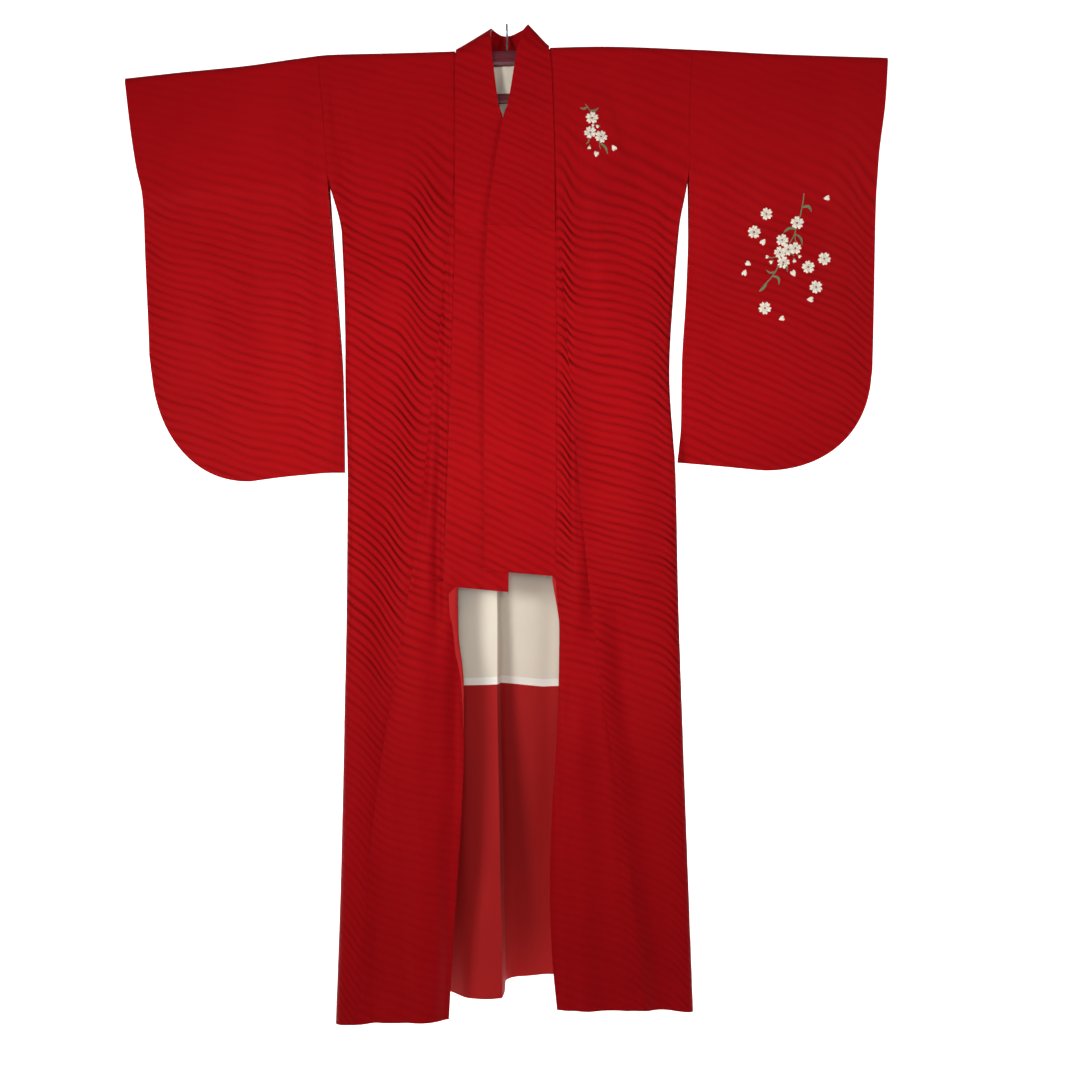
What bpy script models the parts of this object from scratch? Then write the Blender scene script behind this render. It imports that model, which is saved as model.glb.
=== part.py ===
"""A women's kimono hanging on a two-bar kimono hanger.

The frame: metres, +Z up, +X to the viewer's right, +Y away from the viewer, who faces the fronts.
The origin is the inside top of the hanger's hook, where it rests on a rail. Right and left are the
wearer's, so the right half lies at negative X. Heights on the cloth are given as the drop below
the fold over the shoulder. Tables are in millimetres.
"""
import math
from collections import namedtuple

import bpy
import numpy as np

for old in list(bpy.data.objects):
    bpy.data.objects.remove(old, do_unlink=True)

MM = 0.001

# Walls: the outer silk, the lining, and the collar, which is folded double.
CLOTH = 1.4 * MM
LINING = 1.0 * MM
COLLAR_CLOTH = 2.0 * MM
OVER_COLLAR_CLOTH = 1.2 * MM
SEAM = 0.3 * MM

# The cloth's middle turns over the hanger on this radius.
FOLD_RADIUS = 9.0 * MM

# Lengths of the garment, measured down from the shoulder fold.
FRONT_HEM = {"right": 1627 * MM, "left": 1617 * MM}
BACK_HEM = 1612 * MM
COLLAR_END = {"right": 913 * MM, "left": 893 * MM}
# The overlap narrows to a point between these two levels, where it meets the collar.
OVERLAP_POINT = 200 * MM
OVERLAP_SHOULDER = 255 * MM
OVER_COLLAR_END = {"right": 312 * MM, "left": 310 * MM}
OVER_COLLAR_INSET = 0.12
LINING_JOIN = 1075 * MM
LINING_MARGIN = 2 * MM
SLEEVE_SET = 200 * MM
SIDE_SEAM_TOP = 310 * MM
# The cap over the shoulder ends here, and the front's return at the side starts here.
SHOULDER_END = 120 * MM
SIDE_START = 225 * MM
# The back neck is cut this far behind the shoulder fold.
NECK_DROP = 17 * MM

# Hanger: rounded bars, flat links and a wire hook.
BAR_HALF_LENGTH = 600 * MM
BAR_HEIGHT = 26.5 * MM
BAR_END_HEIGHT = 20 * MM
BAR_THICKNESS = 12 * MM
BAR_CLEARANCE = 0.5 * MM
LOWER_BAR_HALF_LENGTH = 170 * MM
LOWER_BAR_HEIGHT = 17.5 * MM
LOWER_BAR_THICKNESS = 9 * MM
LOWER_BAR_TOP = -115 * MM
HANGER_TILT = 0.033
LINK_PLACE = 150 * MM
LINK_WIDTH = 12 * MM
LINK_THICKNESS = 4 * MM
HOOK_WIRE = 4 * MM
HOOK_RADIUS = 12 * MM

# Rows of the cloth over the shoulder fold and below it. A place behind the fold is negative.
FOLD_ROWS = [-9, -4.5, 0, 4.5, 9]
ROWS = [
    60, 90, 120, 200, 225, 255, 310, 380, 470, 570, 680, 800, 910, 985, 1075, 1180, 1300, 1420, 1530,
]
FRONT_COLUMNS = 12
SIDE_COLUMNS = 5
BACK_COLUMNS = 15
OVERLAP_COLUMNS = 7
SLEEVE_COLUMNS = 11
SLEEVE_LOWER_ROWS = 6
COLLAR_COLUMNS = 5
# No shared row lies nearer than this to a row of a piece's own.
ROW_CLEARANCE = 5 * MM

# Half width of the stretch over which a corner of a level section is rounded.
SIDE_ROUNDING = 22 * MM
BACK_ROUNDING = 12 * MM

TopLine = namedtuple("TopLine", "x z")
TOP_LINE = [
    TopLine(-646, -90), TopLine(-556, -80), TopLine(-445, -69), TopLine(-352, -56), TopLine(-300, -50),
    TopLine(-182, -47), TopLine(-85, -44), TopLine(0, -41), TopLine(70, -38), TopLine(158, -36),
    TopLine(314, -41), TopLine(464, -49), TopLine(646, -55),
]

# Where the body's front turns back round the side, and the seam of body and sleeve above that.
Edge = namedtuple("Edge", "drop right left")
BODY_EDGE = [
    Edge(0, -321, 315), Edge(90, -313, 310), Edge(200, -304, 308), Edge(310, -279, 291),
    Edge(425, -277, 284), Edge(550, -277, 279), Edge(730, -273, 290), Edge(930, -274, 294),
    Edge(1130, -277, 300), Edge(1365, -281, 308), Edge(1627, -289, 317),
]

# Depth of the front and the back from the hanger's middle, and how far the back corner of a level
# section, where the side seam lies, is inside the front one.
Level = namedtuple("Level", "drop front back inset")
LEVELS = [
    Level(0, 9, 9, 0), Level(100, 12, 12, 0), Level(200, 15, 16, 0), Level(255, 16, 18, 1),
    Level(310, 17, 20, 2), Level(600, 24, 42, 18), Level(900, 35, 66, 38), Level(1300, 50, 96, 60),
    Level(1627, 62, 120, 78),
]

# The seam of front panel and overlap, and the overlap's front edge below the collar.
OverlapSeam = namedtuple("OverlapSeam", "drop right left")
OVERLAP_SEAM = [
    OverlapSeam(0, -88, 73), OverlapSeam(90, -88, 78), OverlapSeam(245, -91, 83),
    OverlapSeam(390, -106, 93), OverlapSeam(615, -129, 111), OverlapSeam(790, -146, 126),
    OverlapSeam(970, -173, 145), OverlapSeam(1110, -196, 163), OverlapSeam(1262, -218, 187),
    OverlapSeam(1430, -233, 211), OverlapSeam(1627, -246, 235),
]
FrontEdge = namedtuple("FrontEdge", "drop right left")
FRONT_EDGE = [
    FrontEdge(900, -83, 78), FrontEdge(985, -82, 89), FrontEdge(1075, -73, 88), FrontEdge(1180, -72, 84),
    FrontEdge(1300, -76, 76), FrontEdge(1420, -84, 73), FrontEdge(1530, -91, 77), FrontEdge(1627, -96, 86),
]

# The collar on the fronts: its seam, its free edge, and how far it lies in front of the panels.
CollarRow = namedtuple("CollarRow", "drop seam free lift")
COLLAR_FRONT = {
    "right": [
        CollarRow(0, -88, -26, 0), CollarRow(60, -88, -19, 0), CollarRow(95, -88, -14, 0),
        CollarRow(120, -88, -6, 0), CollarRow(200, -88, 3, 0), CollarRow(314, -88, 8, 0),
        CollarRow(450, -91, 9, 0), CollarRow(600, -96, 9, 0), CollarRow(760, -101, 7, 0),
        CollarRow(913, -106, 3, 0),
    ],
    "left": [
        CollarRow(0, 73, 17, 0), CollarRow(60, 77, 8, 1.5), CollarRow(95, 78, 2, 4),
        CollarRow(120, 79, -6, 5), CollarRow(200, 81, -20, 5), CollarRow(309, 82, -33, 5),
        CollarRow(450, 83, -38, 5), CollarRow(600, 83, -38, 5), CollarRow(760, 83, -38, 5),
        CollarRow(893, 82, -38, 5),
    ],
}
COLLAR_TOP = 22 * MM

# The collar round the neck: from the front of the shoulder over the fold to the centre back.
NeckStation = namedtuple("NeckStation", "seam_x seam_y seam_z free_x free_y free_z")
COLLAR_NECK = {
    "right": [
        NeckStation(-87, -9.5, -52, -26, -10, -41), NeckStation(-86, -5, -45, -27, -7, -20),
        NeckStation(-85, 1, -43, -26, 2, -6), NeckStation(-84, 8, -48, -22, 13, -4),
        NeckStation(-74, 11, -58, -17, 18, -6), NeckStation(-55, 11, -59, -13, 20, -8),
        NeckStation(-30, 11, -58.3, -8, 21, -10), NeckStation(-1, 11, -57.3, -1, 21.5, -10.5),
    ],
    "left": [
        NeckStation(72, -9.5, -46, 18, -10, -39), NeckStation(71, -5, -39, 27, -7, -18),
        NeckStation(70, 1, -37, 34, 2, 2), NeckStation(69, 8, -42, 28, 13, -1),
        NeckStation(61, 11, -53.5, 20, 18, -4), NeckStation(45, 11, -55.2, 13, 20, -7),
        NeckStation(24, 11, -56.3, 6, 21, -9.5), NeckStation(-1, 11, -57.3, -1, 21.5, -10.5),
    ],
}

# The deep fold of the back, which comes forward in the gap between the fronts: the centre-back
# seam lies on its edge, and near and far are the depths of its ridge and of the cloth beside it.
BackFold = namedtuple("BackFold", "drop seam near far")
BACK_FOLD = [
    BackFold(0, -1, 9, 9), BackFold(100, -1, 12, 12), BackFold(200, -1, 16, 16),
    BackFold(310, -4, 19, 20), BackFold(600, -12, 30, 42), BackFold(930, -19, 32, 68),
    BackFold(1075, -19, 34, 80), BackFold(1300, -15, 22, 97), BackFold(1627, -9, -4, 120),
]
# The ridge in plan, by the distance from the seam and the share of the way from near to far.
RidgePoint = namedtuple("RidgePoint", "across share")
RIDGE = {
    "right": [RidgePoint(0, 0.04), RidgePoint(-24, 0), RidgePoint(-60, 0.1), RidgePoint(-105, 0.6),
              RidgePoint(-150, 1)],
    "left": [RidgePoint(0, 0.04), RidgePoint(3, 0.25), RidgePoint(3, 0.85), RidgePoint(18, 1)],
}

# Long soft folds. Height is towards the outside of the cloth, negative for a trough.
Fold = namedtuple("Fold", "top_x foot_x start end width height")
FRONT_FOLDS = [
    Fold(-292, -262, 15, 330, 11, -3.5), Fold(-205, -228, 40, 520, 26, 4),
    Fold(-120, -158, 260, 900, 20, -5), Fold(-236, -250, 480, 1627, 22, 6),
    Fold(-200, -215, 640, 1627, 15, -5), Fold(-150, -140, 900, 1627, 24, 7),
    Fold(178, 236, 10, 330, 16, -6), Fold(140, 168, 40, 560, 17, 6), Fold(112, 120, 300, 1050, 13, 6),
    Fold(206, 226, 360, 1100, 24, 5), Fold(176, 244, 900, 1627, 17, -8), Fold(262, 276, 820, 1627, 16, 6),
    Fold(118, 134, 1050, 1627, 20, 6),
]
BACK_FOLDS = [
    Fold(-230, -205, 60, 900, 24, 4), Fold(-150, -175, 300, 1627, 20, -7), Fold(-95, -120, 80, 700, 16, 4),
    Fold(95, 70, 200, 1627, 20, 8), Fold(150, 140, 300, 1627, 18, -8), Fold(210, 190, 60, 1627, 24, 7),
]
SLEEVE_FOLDS = [
    Fold(-345, -330, 30, 640, 15, 3), Fold(-430, -420, 60, 620, 30, -3), Fold(-540, -500, 40, 560, 30, 3),
    Fold(340, 330, 20, 600, 14, 3), Fold(450, 430, 60, 600, 30, -3), Fold(560, 520, 40, 560, 26, 3),
]
FOLD_FADE = 130 * MM

# The sleeve's edge towards the body below the seam, and its outer edge, by the drop.
SleeveEdge = namedtuple("SleeveEdge", "drop x")
SLEEVE_INNER = {
    "right": [SleeveEdge(200, -304), SleeveEdge(300, -297), SleeveEdge(420, -288), SleeveEdge(555, -279),
              SleeveEdge(715, -276)],
    "left": [SleeveEdge(200, 308), SleeveEdge(310, 309), SleeveEdge(405, 306), SleeveEdge(545, 298),
             SleeveEdge(630, 297), SleeveEdge(705, 290)],
}
SLEEVE_OUTER = {
    "right": [SleeveEdge(0, -648), SleeveEdge(87, -638), SleeveEdge(155, -628), SleeveEdge(206, -618),
              SleeveEdge(300, -615), SleeveEdge(470, -608), SleeveEdge(700, -604)],
    "left": [SleeveEdge(0, 646), SleeveEdge(70, 642), SleeveEdge(175, 630), SleeveEdge(240, 627),
             SleeveEdge(445, 623), SleeveEdge(530, 621), SleeveEdge(700, 616)],
}
# The foot of the sleeve: its level at the inner edge and where the round corner starts, and the
# corner's width, height and roundness.
SleeveFoot = namedtuple("SleeveFoot", "inner_x inner_z corner_x corner_z width height")
SLEEVE_FOOT = {
    "right": SleeveFoot(-276, -762, -438, -779, 168, 215),
    "left": SleeveFoot(290, -743, 438, -757, 182, 172),
}
CORNER_ROUNDNESS = 2.2
# Half the space between the sleeve's two walls, at its inner and its outer edge, and how far its
# inner edge lies behind the hanger's middle, so that it passes behind the body's front.
SleeveSpace = namedtuple("SleeveSpace", "drop inner outer behind")
SLEEVE_SPACE = [
    SleeveSpace(0, 9, 9, 0), SleeveSpace(100, 12, 9, 0), SleeveSpace(200, 15.3, 7, 0.3),
    SleeveSpace(230, 14, 3, 1), SleeveSpace(290, 11, 0.95, 3), SleeveSpace(450, 7, 0.95, 6),
    SleeveSpace(720, 4, 0.95, 8),
]
SLEEVE_SWELL = 3.5 * MM
CLOSED_SPACE = 0.95 * MM

# Colours of the cloths and the hanger, linear.
RED_SILK = (0.36, 0.008, 0.010)
CREAM_SILK = (0.62, 0.53, 0.40)
DULL_RED_SILK = (0.30, 0.018, 0.018)
MAROON_PLASTIC = (0.09, 0.015, 0.022)
STEEL = (0.45, 0.45, 0.46)
SILK_ROUGHNESS = 0.45
HANGER_ROUGHNESS = 0.3


def reader(rows, column):
    """A smooth curve, with no overshoot, through one column of a table."""
    places = np.array([row[0] for row in rows]) * MM
    values = np.array([getattr(row, column) for row in rows], float)
    secants = np.diff(values) / np.diff(places)
    slopes = np.zeros(len(values))
    slopes[0] = secants[0]
    slopes[-1] = secants[-1]
    for k in range(1, len(values) - 1):
        before = secants[k - 1]
        after = secants[k]
        if before * after > 0:
            slopes[k] = 2 * before * after / (before + after)

    def read(place):
        place = min(max(place, places[0]), places[-1])
        k = min(int(np.searchsorted(places, place, side="right")) - 1, len(places) - 2)
        step = places[k + 1] - places[k]
        t = (place - places[k]) / step
        start = (1 + 2 * t) * (1 - t) ** 2 * values[k] + t * (1 - t) ** 2 * step * slopes[k]
        end = t * t * (3 - 2 * t) * values[k + 1] + t * t * (t - 1) * step * slopes[k + 1]
        return start + end

    return read


def readers(rows):
    """One reader for each column of a table after the first."""
    return {column: reader(rows, column) for column in rows[0]._fields[1:]}


def smooth(t):
    """An even rise from 0 to 1."""
    t = min(max(t, 0.0), 1.0)
    return t * t * (3 - 2 * t)


def fold_height(folds, x, drop):
    """The height of all the long folds at one place of the cloth, in metres."""
    height = 0.0
    for fold in folds:
        start = fold.start * MM
        end = fold.end * MM
        if not start < drop < end:
            continue
        along = (drop - start) / (end - start)
        middle = (fold.top_x + (fold.foot_x - fold.top_x) * along) * MM
        rise = smooth((drop - start) / FOLD_FADE)
        open_foot = fold.end >= FRONT_HEM["right"] / MM
        fall = 1.0 if open_foot else smooth((end - drop) / FOLD_FADE)
        height += fold.height * MM * rise * fall * math.exp(-((x - middle) / (fold.width * MM)) ** 2)
    return height


def spaced(path, count, first=0.0, last=1.0):
    """Points at even distances along a path, or between two shares of its length."""
    path = np.asarray(path, float)
    lengths = np.concatenate([[0], np.cumsum(np.linalg.norm(np.diff(path, axis=0), axis=1))])
    places = np.linspace(first * lengths[-1], last * lengths[-1], count)
    return np.column_stack([np.interp(places, lengths, path[:, k]) for k in range(path.shape[1])])


def rounded(path, reach):
    """A path with its corners rounded over a reach to each side."""
    path = np.asarray(path, float)
    length = np.linalg.norm(np.diff(path, axis=0), axis=1).sum()
    dense = spaced(path, 241)
    half = max(1, min(100, int(round(240 * reach / length))))
    head = 2 * dense[0] - dense[half:0:-1]
    tail = 2 * dense[-1] - dense[-2:-half - 2:-1]
    padded = np.vstack([head, dense, tail])
    kernel = np.ones(2 * half + 1) / (2 * half + 1)
    return np.column_stack([np.convolve(padded[:, k], kernel, mode="valid") for k in range(path.shape[1])])


top_of = reader(TOP_LINE, "z")
body_edge = readers(BODY_EDGE)
level = readers(LEVELS)
overlap_seam = readers(OVERLAP_SEAM)
front_edge = readers(FRONT_EDGE)
back_fold = readers(BACK_FOLD)
collar_row = {half: readers(COLLAR_FRONT[half]) for half in COLLAR_FRONT}
sleeve_inner = {half: reader(SLEEVE_INNER[half], "x") for half in SLEEVE_INNER}
sleeve_outer = {half: reader(SLEEVE_OUTER[half], "x") for half in SLEEVE_OUTER}
sleeve_space = readers(SLEEVE_SPACE)


def on_cloth(x, place, depth):
    """A point at a place of the cloth, which turns over the shoulder fold. Places behind the fold
    are negative, and depth is the distance from the hanger's middle below the fold."""
    side = -1 if place >= 0 else 1
    drop = abs(place)
    top = top_of(x) * MM
    if drop < FOLD_RADIUS:
        angle = drop / FOLD_RADIUS * math.pi / 2
        return (x, side * FOLD_RADIUS * math.sin(angle), top - FOLD_RADIUS * (1 - math.cos(angle)))
    return (x, side * depth, top - drop)


def front_depth(x, drop):
    return level["front"](drop) * MM + fold_height(FRONT_FOLDS, x, drop)


def front_normal(x, drop):
    """The outward direction of the fronts' surface, the same for each piece that meets there."""
    step = 1 * MM
    by_x = (front_depth(x + step, drop) - front_depth(x - step, drop)) / (2 * step)
    by_drop = (front_depth(x, drop + step) - front_depth(x, drop - step)) / (2 * step)
    normal = np.array([-by_x, -1.0, by_drop])
    return normal / np.linalg.norm(normal)


def side_points(half, drop):
    """The front corner, the back corner, and the edge that the front's return reaches at one level."""
    sign = -1 if half == "right" else 1
    edge = body_edge[half](drop) * MM
    front = np.array([edge, -front_depth(edge, drop)])
    back = np.array([edge - sign * level["inset"](drop) * MM, level["back"](drop) * MM])
    closed = smooth((drop - SLEEVE_SET) / (SIDE_SEAM_TOP - SLEEVE_SET))
    return front, back, front + closed * (back - front)


def trimmed(path, first, last):
    """A path shortened at its first and last point, for the seams there."""
    path = np.array(path, float)
    start = path[1] - path[0]
    end = path[-2] - path[-1]
    path[0] += start / np.linalg.norm(start) * first
    path[-1] += end / np.linalg.norm(end) * last
    return path


def front_start(half, drop):
    """The front panel's inner edge: the collar's seam, and below the overlap's point its seam."""
    if drop >= OVERLAP_SHOULDER:
        return overlap_seam[half](drop) * MM
    if drop <= OVERLAP_POINT:
        return collar_row[half]["seam"](drop) * MM
    top = collar_row[half]["seam"](OVERLAP_POINT)
    foot = overlap_seam[half](OVERLAP_SHOULDER)
    return (top + (foot - top) * (drop - OVERLAP_POINT) / (OVERLAP_SHOULDER - OVERLAP_POINT)) * MM


def front_section(half, drop):
    """The front panel in plan at one level: its front, and its return at the side or None."""
    corner, _, seam = side_points(half, drop)
    run = [(x, -front_depth(x, drop)) for x in np.linspace(front_start(half, drop), corner[0], 40)]
    if drop < SIDE_START - 1 * MM:
        return trimmed(spaced(run, FRONT_COLUMNS), SEAM / 2, SEAM / 2), None
    path = rounded(run + [tuple(seam)], SIDE_ROUNDING * smooth((drop - SLEEVE_SET) / 0.3))
    front_length = np.linalg.norm(np.diff(np.array(run), axis=0), axis=1).sum()
    share = front_length / (front_length + np.linalg.norm(seam - corner))
    front = trimmed(spaced(path, FRONT_COLUMNS, 0, share), SEAM / 2, SEAM / 2)
    side = trimmed(spaced(path, SIDE_COLUMNS, share, 1), SEAM / 2, SEAM / 2)
    return front, side


def back_section(half, drop):
    """The back panel in plan at one level, from the centre-back seam to the side seam."""
    _, corner, _ = side_points(half, drop)
    middle = back_fold["seam"](drop) * MM
    near = back_fold["near"](drop) * MM
    far = back_fold["far"](drop) * MM
    run = [(middle + point.across * MM, near + (far - near) * point.share) for point in RIDGE[half]]
    last_x = run[-1][0]
    for x in np.linspace(last_x, corner[0], 30)[1:-1]:
        run.append((x, far + fold_height(BACK_FOLDS, x, drop)))
    run.append(tuple(corner))
    return trimmed(spaced(rounded(run, BACK_ROUNDING), BACK_COLUMNS), SEAM / 2, SEAM / 2)


def unit(vectors):
    vectors = np.asarray(vectors, float)
    return vectors / np.linalg.norm(vectors, axis=-1, keepdims=True)


def grid_normals(points, outward):
    return unit(np.cross(np.gradient(points, axis=1), np.gradient(points, axis=0)) * outward)


def seam_normals(first, second):
    """One direction for each row of a seam, halfway between those of the two cloths that meet."""
    return unit(first + second)


def row_at(places, place):
    return int(np.argmin([abs(row - place) for row in places]))


def cut_across(grid, row):
    """The parts of a grid above and below one row, with a seam's gap between them."""
    above = grid[:row + 1].copy()
    above[-1, :, 2] += SEAM / 2
    below = grid[row:].copy()
    below[0, :, 2] -= SEAM / 2
    return above, below


def wall(name, points, thickness, colour, normals, offset=0.0):
    """A closed wall round a grid of points on its middle, with the direction out of each point."""
    outer = points + normals * (offset + thickness / 2)
    inner = points + normals * (offset - thickness / 2)
    rows, columns = points.shape[:2]
    count = rows * columns
    vertices = [tuple(p) for p in outer.reshape(-1, 3)] + [tuple(p) for p in inner.reshape(-1, 3)]
    faces = []
    for i in range(rows - 1):
        for j in range(columns - 1):
            a = i * columns + j
            b = a + columns
            faces.append((a, a + 1, b + 1, b))
            faces.append((count + a, count + b, count + b + 1, count + a + 1))
    rim = list(range(columns))
    rim += [i * columns + columns - 1 for i in range(1, rows)]
    rim += [(rows - 1) * columns + j for j in range(columns - 2, -1, -1)]
    rim += [i * columns for i in range(rows - 2, 0, -1)]
    for k, a in enumerate(rim):
        b = rim[(k + 1) % len(rim)]
        faces.append((b, a, count + a, count + b))
    raw = np.cross(points[0, 1] - points[0, 0], points[1, 0] - points[0, 0])
    if np.dot(raw, normals[0, 0]) < 0:
        faces = [tuple(reversed(face)) for face in faces]
    return solid(name, vertices, faces, colour)


def solid(name, vertices, faces, colour, roughness=SILK_ROUGHNESS):
    """An object from its vertices and faces, with its own material."""
    mesh = bpy.data.meshes.new(name)
    mesh.from_pydata(vertices, [], faces)
    mesh.update()
    thing = bpy.data.objects.new(name, mesh)
    bpy.context.collection.objects.link(thing)
    finish(thing, colour, roughness)
    mesh.shade_smooth()
    mesh.set_sharp_from_angle(angle=math.radians(40))
    return thing


def finish(thing, colour, roughness, metallic=0.0):
    """A Principled material of the piece's own."""
    material = bpy.data.materials.new(thing.name)
    material.use_nodes = True
    shader = material.node_tree.nodes["Principled BSDF"]
    shader.inputs["Base Color"].default_value = (*colour, 1)
    shader.inputs["Roughness"].default_value = roughness
    shader.inputs["Metallic"].default_value = metallic
    thing.data.materials.append(material)


def facing(half):
    """Grids run outwards from the centre, so the two halves have their outsides turned."""
    return 1 if half == "right" else -1


def front_places(half):
    places = [SEAM / 2 - NECK_DROP] + [row * MM for row in FOLD_ROWS + ROWS]
    return places + [FRONT_HEM[half]]


def back_places():
    return [NECK_DROP + SEAM / 2] + [row * MM for row in ROWS] + [BACK_HEM]


def front_grids(half):
    """The points of the front panel, and of its return at the side from the drop where that starts."""
    front = []
    side = []
    for place in front_places(half):
        section, turned = front_section(half, abs(place))
        front.append([on_cloth(x, place, -y if place > 0 else level["back"](-place) * MM)
                      for x, y in section])
        if turned is not None and place > 0:
            side.append([on_cloth(x, place, -y) for x, y in turned])
    return np.array(front), np.array(side)


def back_grid(half):
    return np.array([[on_cloth(x, -place, y) for x, y in back_section(half, place)]
                     for place in back_places()])


def body():
    """The body panels and the linings of the back, with their seams mitred. Each front panel is made
    as its cap over the shoulder, its front and its return at the side, and each back one in two."""
    backs = {half: back_grid(half) for half in ("right", "left")}
    back_normals = {half: grid_normals(backs[half], -facing(half)) for half in backs}
    centre = seam_normals(back_normals["right"][:, 0], back_normals["left"][:, 0])
    for half in ("right", "left"):
        back_normals[half][:, 0] = centre
        front, side = front_grids(half)
        front_normals = grid_normals(front, facing(half))
        side_normals = grid_normals(side, facing(half))
        places = front_places(half)
        for i, place in enumerate(places):
            if place > FOLD_RADIUS:
                front_normals[i, 0] = front_normal(front_start(half, place), place)
        corner = seam_normals(front_normals[-len(side):, -1], side_normals[:, 0])
        front_normals[-len(side):, -1] = corner
        side_normals[:, 0] = corner
        shared = sum(place >= SIDE_SEAM_TOP for place in places)
        seam = seam_normals(side_normals[-shared:, -1], back_normals[half][-shared:, -1])
        side_normals[-shared:, -1] = seam
        back_normals[half][-shared:, -1] = seam
        front_normals[0] = (0, 1, 0)
        back_normals[half][0] = (0, 1, 0)
        end = row_at(places, SHOULDER_END)
        cap, below = cut_across(front, end)
        wall("body_shoulder_" + half, cap, CLOTH, RED_SILK, front_normals[:end + 1])
        wall("body_front_" + half, below, CLOTH, RED_SILK, front_normals[end:])
        wall("body_side_" + half, side, CLOTH, RED_SILK, side_normals)
        end = row_at(back_places(), SIDE_SEAM_TOP)
        upper, lower = cut_across(backs[half], end)
        wall("body_upper_back_" + half, upper, CLOTH, RED_SILK, back_normals[half][:end + 1])
        wall("body_back_" + half, lower, CLOTH, RED_SILK, back_normals[half][end:])
        linings(half, backs[half], back_normals[half])


def linings(half, grid, normals):
    """The two linings of the back, on its inside: cream above, dull red from the join to the hem."""
    inward = -(CLOTH / 2 + SEAM + LINING / 2)
    join = row_at(back_places(), LINING_JOIN)
    upper, lower = cut_across(grid, join)
    upper[0, :, 2] -= LINING_MARGIN
    lower[-1, :, 2] += LINING_MARGIN
    wall("lining_upper_" + half, upper, LINING, CREAM_SILK, normals[:join + 1], offset=inward)
    wall("lining_lower_" + half, lower, LINING, DULL_RED_SILK, normals[join:], offset=inward)


def overlap(half):
    """The front overlap, from its point on the collar's seam to the hem."""
    sign = -1 if half == "right" else 1
    end = COLLAR_END[half]
    rows = [row * MM for row in ROWS]
    drops = [row for row in rows if OVERLAP_POINT < row < end - ROW_CLEARANCE]
    drops += [end + 0.5 * MM, end + 2 * MM]
    drops += [row for row in rows if row > end + ROW_CLEARANCE] + [FRONT_HEM[half]]
    grid = []
    normals = []
    for drop in drops:
        start = front_start(half, drop) - sign * SEAM / 2
        free = front_edge[half](drop) * MM
        if drop < end + 1 * MM:
            free = collar_row[half]["seam"](drop) * MM + sign * SEAM / 2
        run = np.linspace(start, free, OVERLAP_COLUMNS)
        grid.append([(x, -front_depth(x, drop), top_of(x) * MM - drop) for x in run])
        normals.append([front_normal(x, drop) for x in run])
    wall("overlap_" + half, np.array(grid), CLOTH, RED_SILK, np.array(normals))


def sleeve_lengths(half, across):
    """The x and level of the fold, and the drop of the foot, at one share across the sleeve."""
    foot = SLEEVE_FOOT[half]
    seam_x = body_edge[half](0)
    top_x = seam_x + (SLEEVE_OUTER[half][0].x - seam_x) * across
    foot_x = foot.inner_x + (SLEEVE_OUTER[half][-2].x - foot.inner_x) * across
    along = (foot_x - foot.inner_x) / (foot.corner_x - foot.inner_x)
    foot_z = foot.inner_z + (foot.corner_z - foot.inner_z) * min(along, 1.0)
    share = min(max((abs(foot_x) - abs(foot.corner_x)) / foot.width, 0.0), 1.0)
    rise = foot.height * (1 - (1 - share ** CORNER_ROUNDNESS) ** (1 / CORNER_ROUNDNESS))
    return (top_of(top_x * MM) - foot_z - rise) * MM


def sleeve_point(half, across, place, length):
    """A point of the sleeve. Places behind the shoulder fold are negative, as on the body."""
    drop = abs(place)
    sign = -1 if half == "right" else 1
    inner = body_edge[half](drop) * MM
    inside = level["front" if place > 0 else "back"](drop) * MM
    if drop > SLEEVE_SET:
        inner = sleeve_inner[half](drop) * MM
        inside = sleeve_space["inner"](drop) * MM
    outer = sleeve_outer[half](drop) * MM
    x = inner + sign * SEAM / 2 + (outer - inner) * across
    gap = inside + (sleeve_space["outer"](drop) * MM - inside) * smooth(across)
    gap += SLEEVE_SWELL * math.sin(math.pi * across) * smooth(drop / 0.25)
    gap = CLOSED_SPACE + (gap - CLOSED_SPACE) * smooth((1 - drop / length) / 0.12)
    behind = sleeve_space["behind"](drop) * MM * (1 - across)
    wave = fold_height(SLEEVE_FOLDS, x, drop) * smooth(across / 0.08) * smooth((1 - across) / 0.1)
    point = on_cloth(x, place, gap)
    return (point[0], point[1] + behind - wave, point[2])


def sleeve(half):
    """Both walls of a sleeve. The front one turns over the shoulder fold, as the body's does."""
    upper = [row * MM for row in ROWS if row * MM <= SLEEVE_SET]
    front_head = [SEAM / 2 - NECK_DROP] + [row * MM for row in FOLD_ROWS] + upper
    back_head = [NECK_DROP + SEAM / 2] + upper
    evens = np.linspace(0, 1, SLEEVE_COLUMNS)
    shares = 0.35 * evens + 0.65 * np.sin(math.pi / 2 * evens)
    for name, head, side in (("front", front_head, 1), ("back", back_head, -1)):
        grid = []
        for across in shares:
            length = sleeve_lengths(half, across)
            lower = np.linspace(SLEEVE_SET, length, SLEEVE_LOWER_ROWS + 1)[1:]
            places = [side * place for place in head + list(lower)]
            grid.append([sleeve_point(half, across, place, length) for place in places])
        grid = np.array(grid).transpose(1, 0, 2)
        normals = grid_normals(grid, side * facing(half))
        normals[0] = (0, 1, 0)
        wall("sleeve_" + name + "_" + half, grid, CLOTH, RED_SILK, normals)


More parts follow.
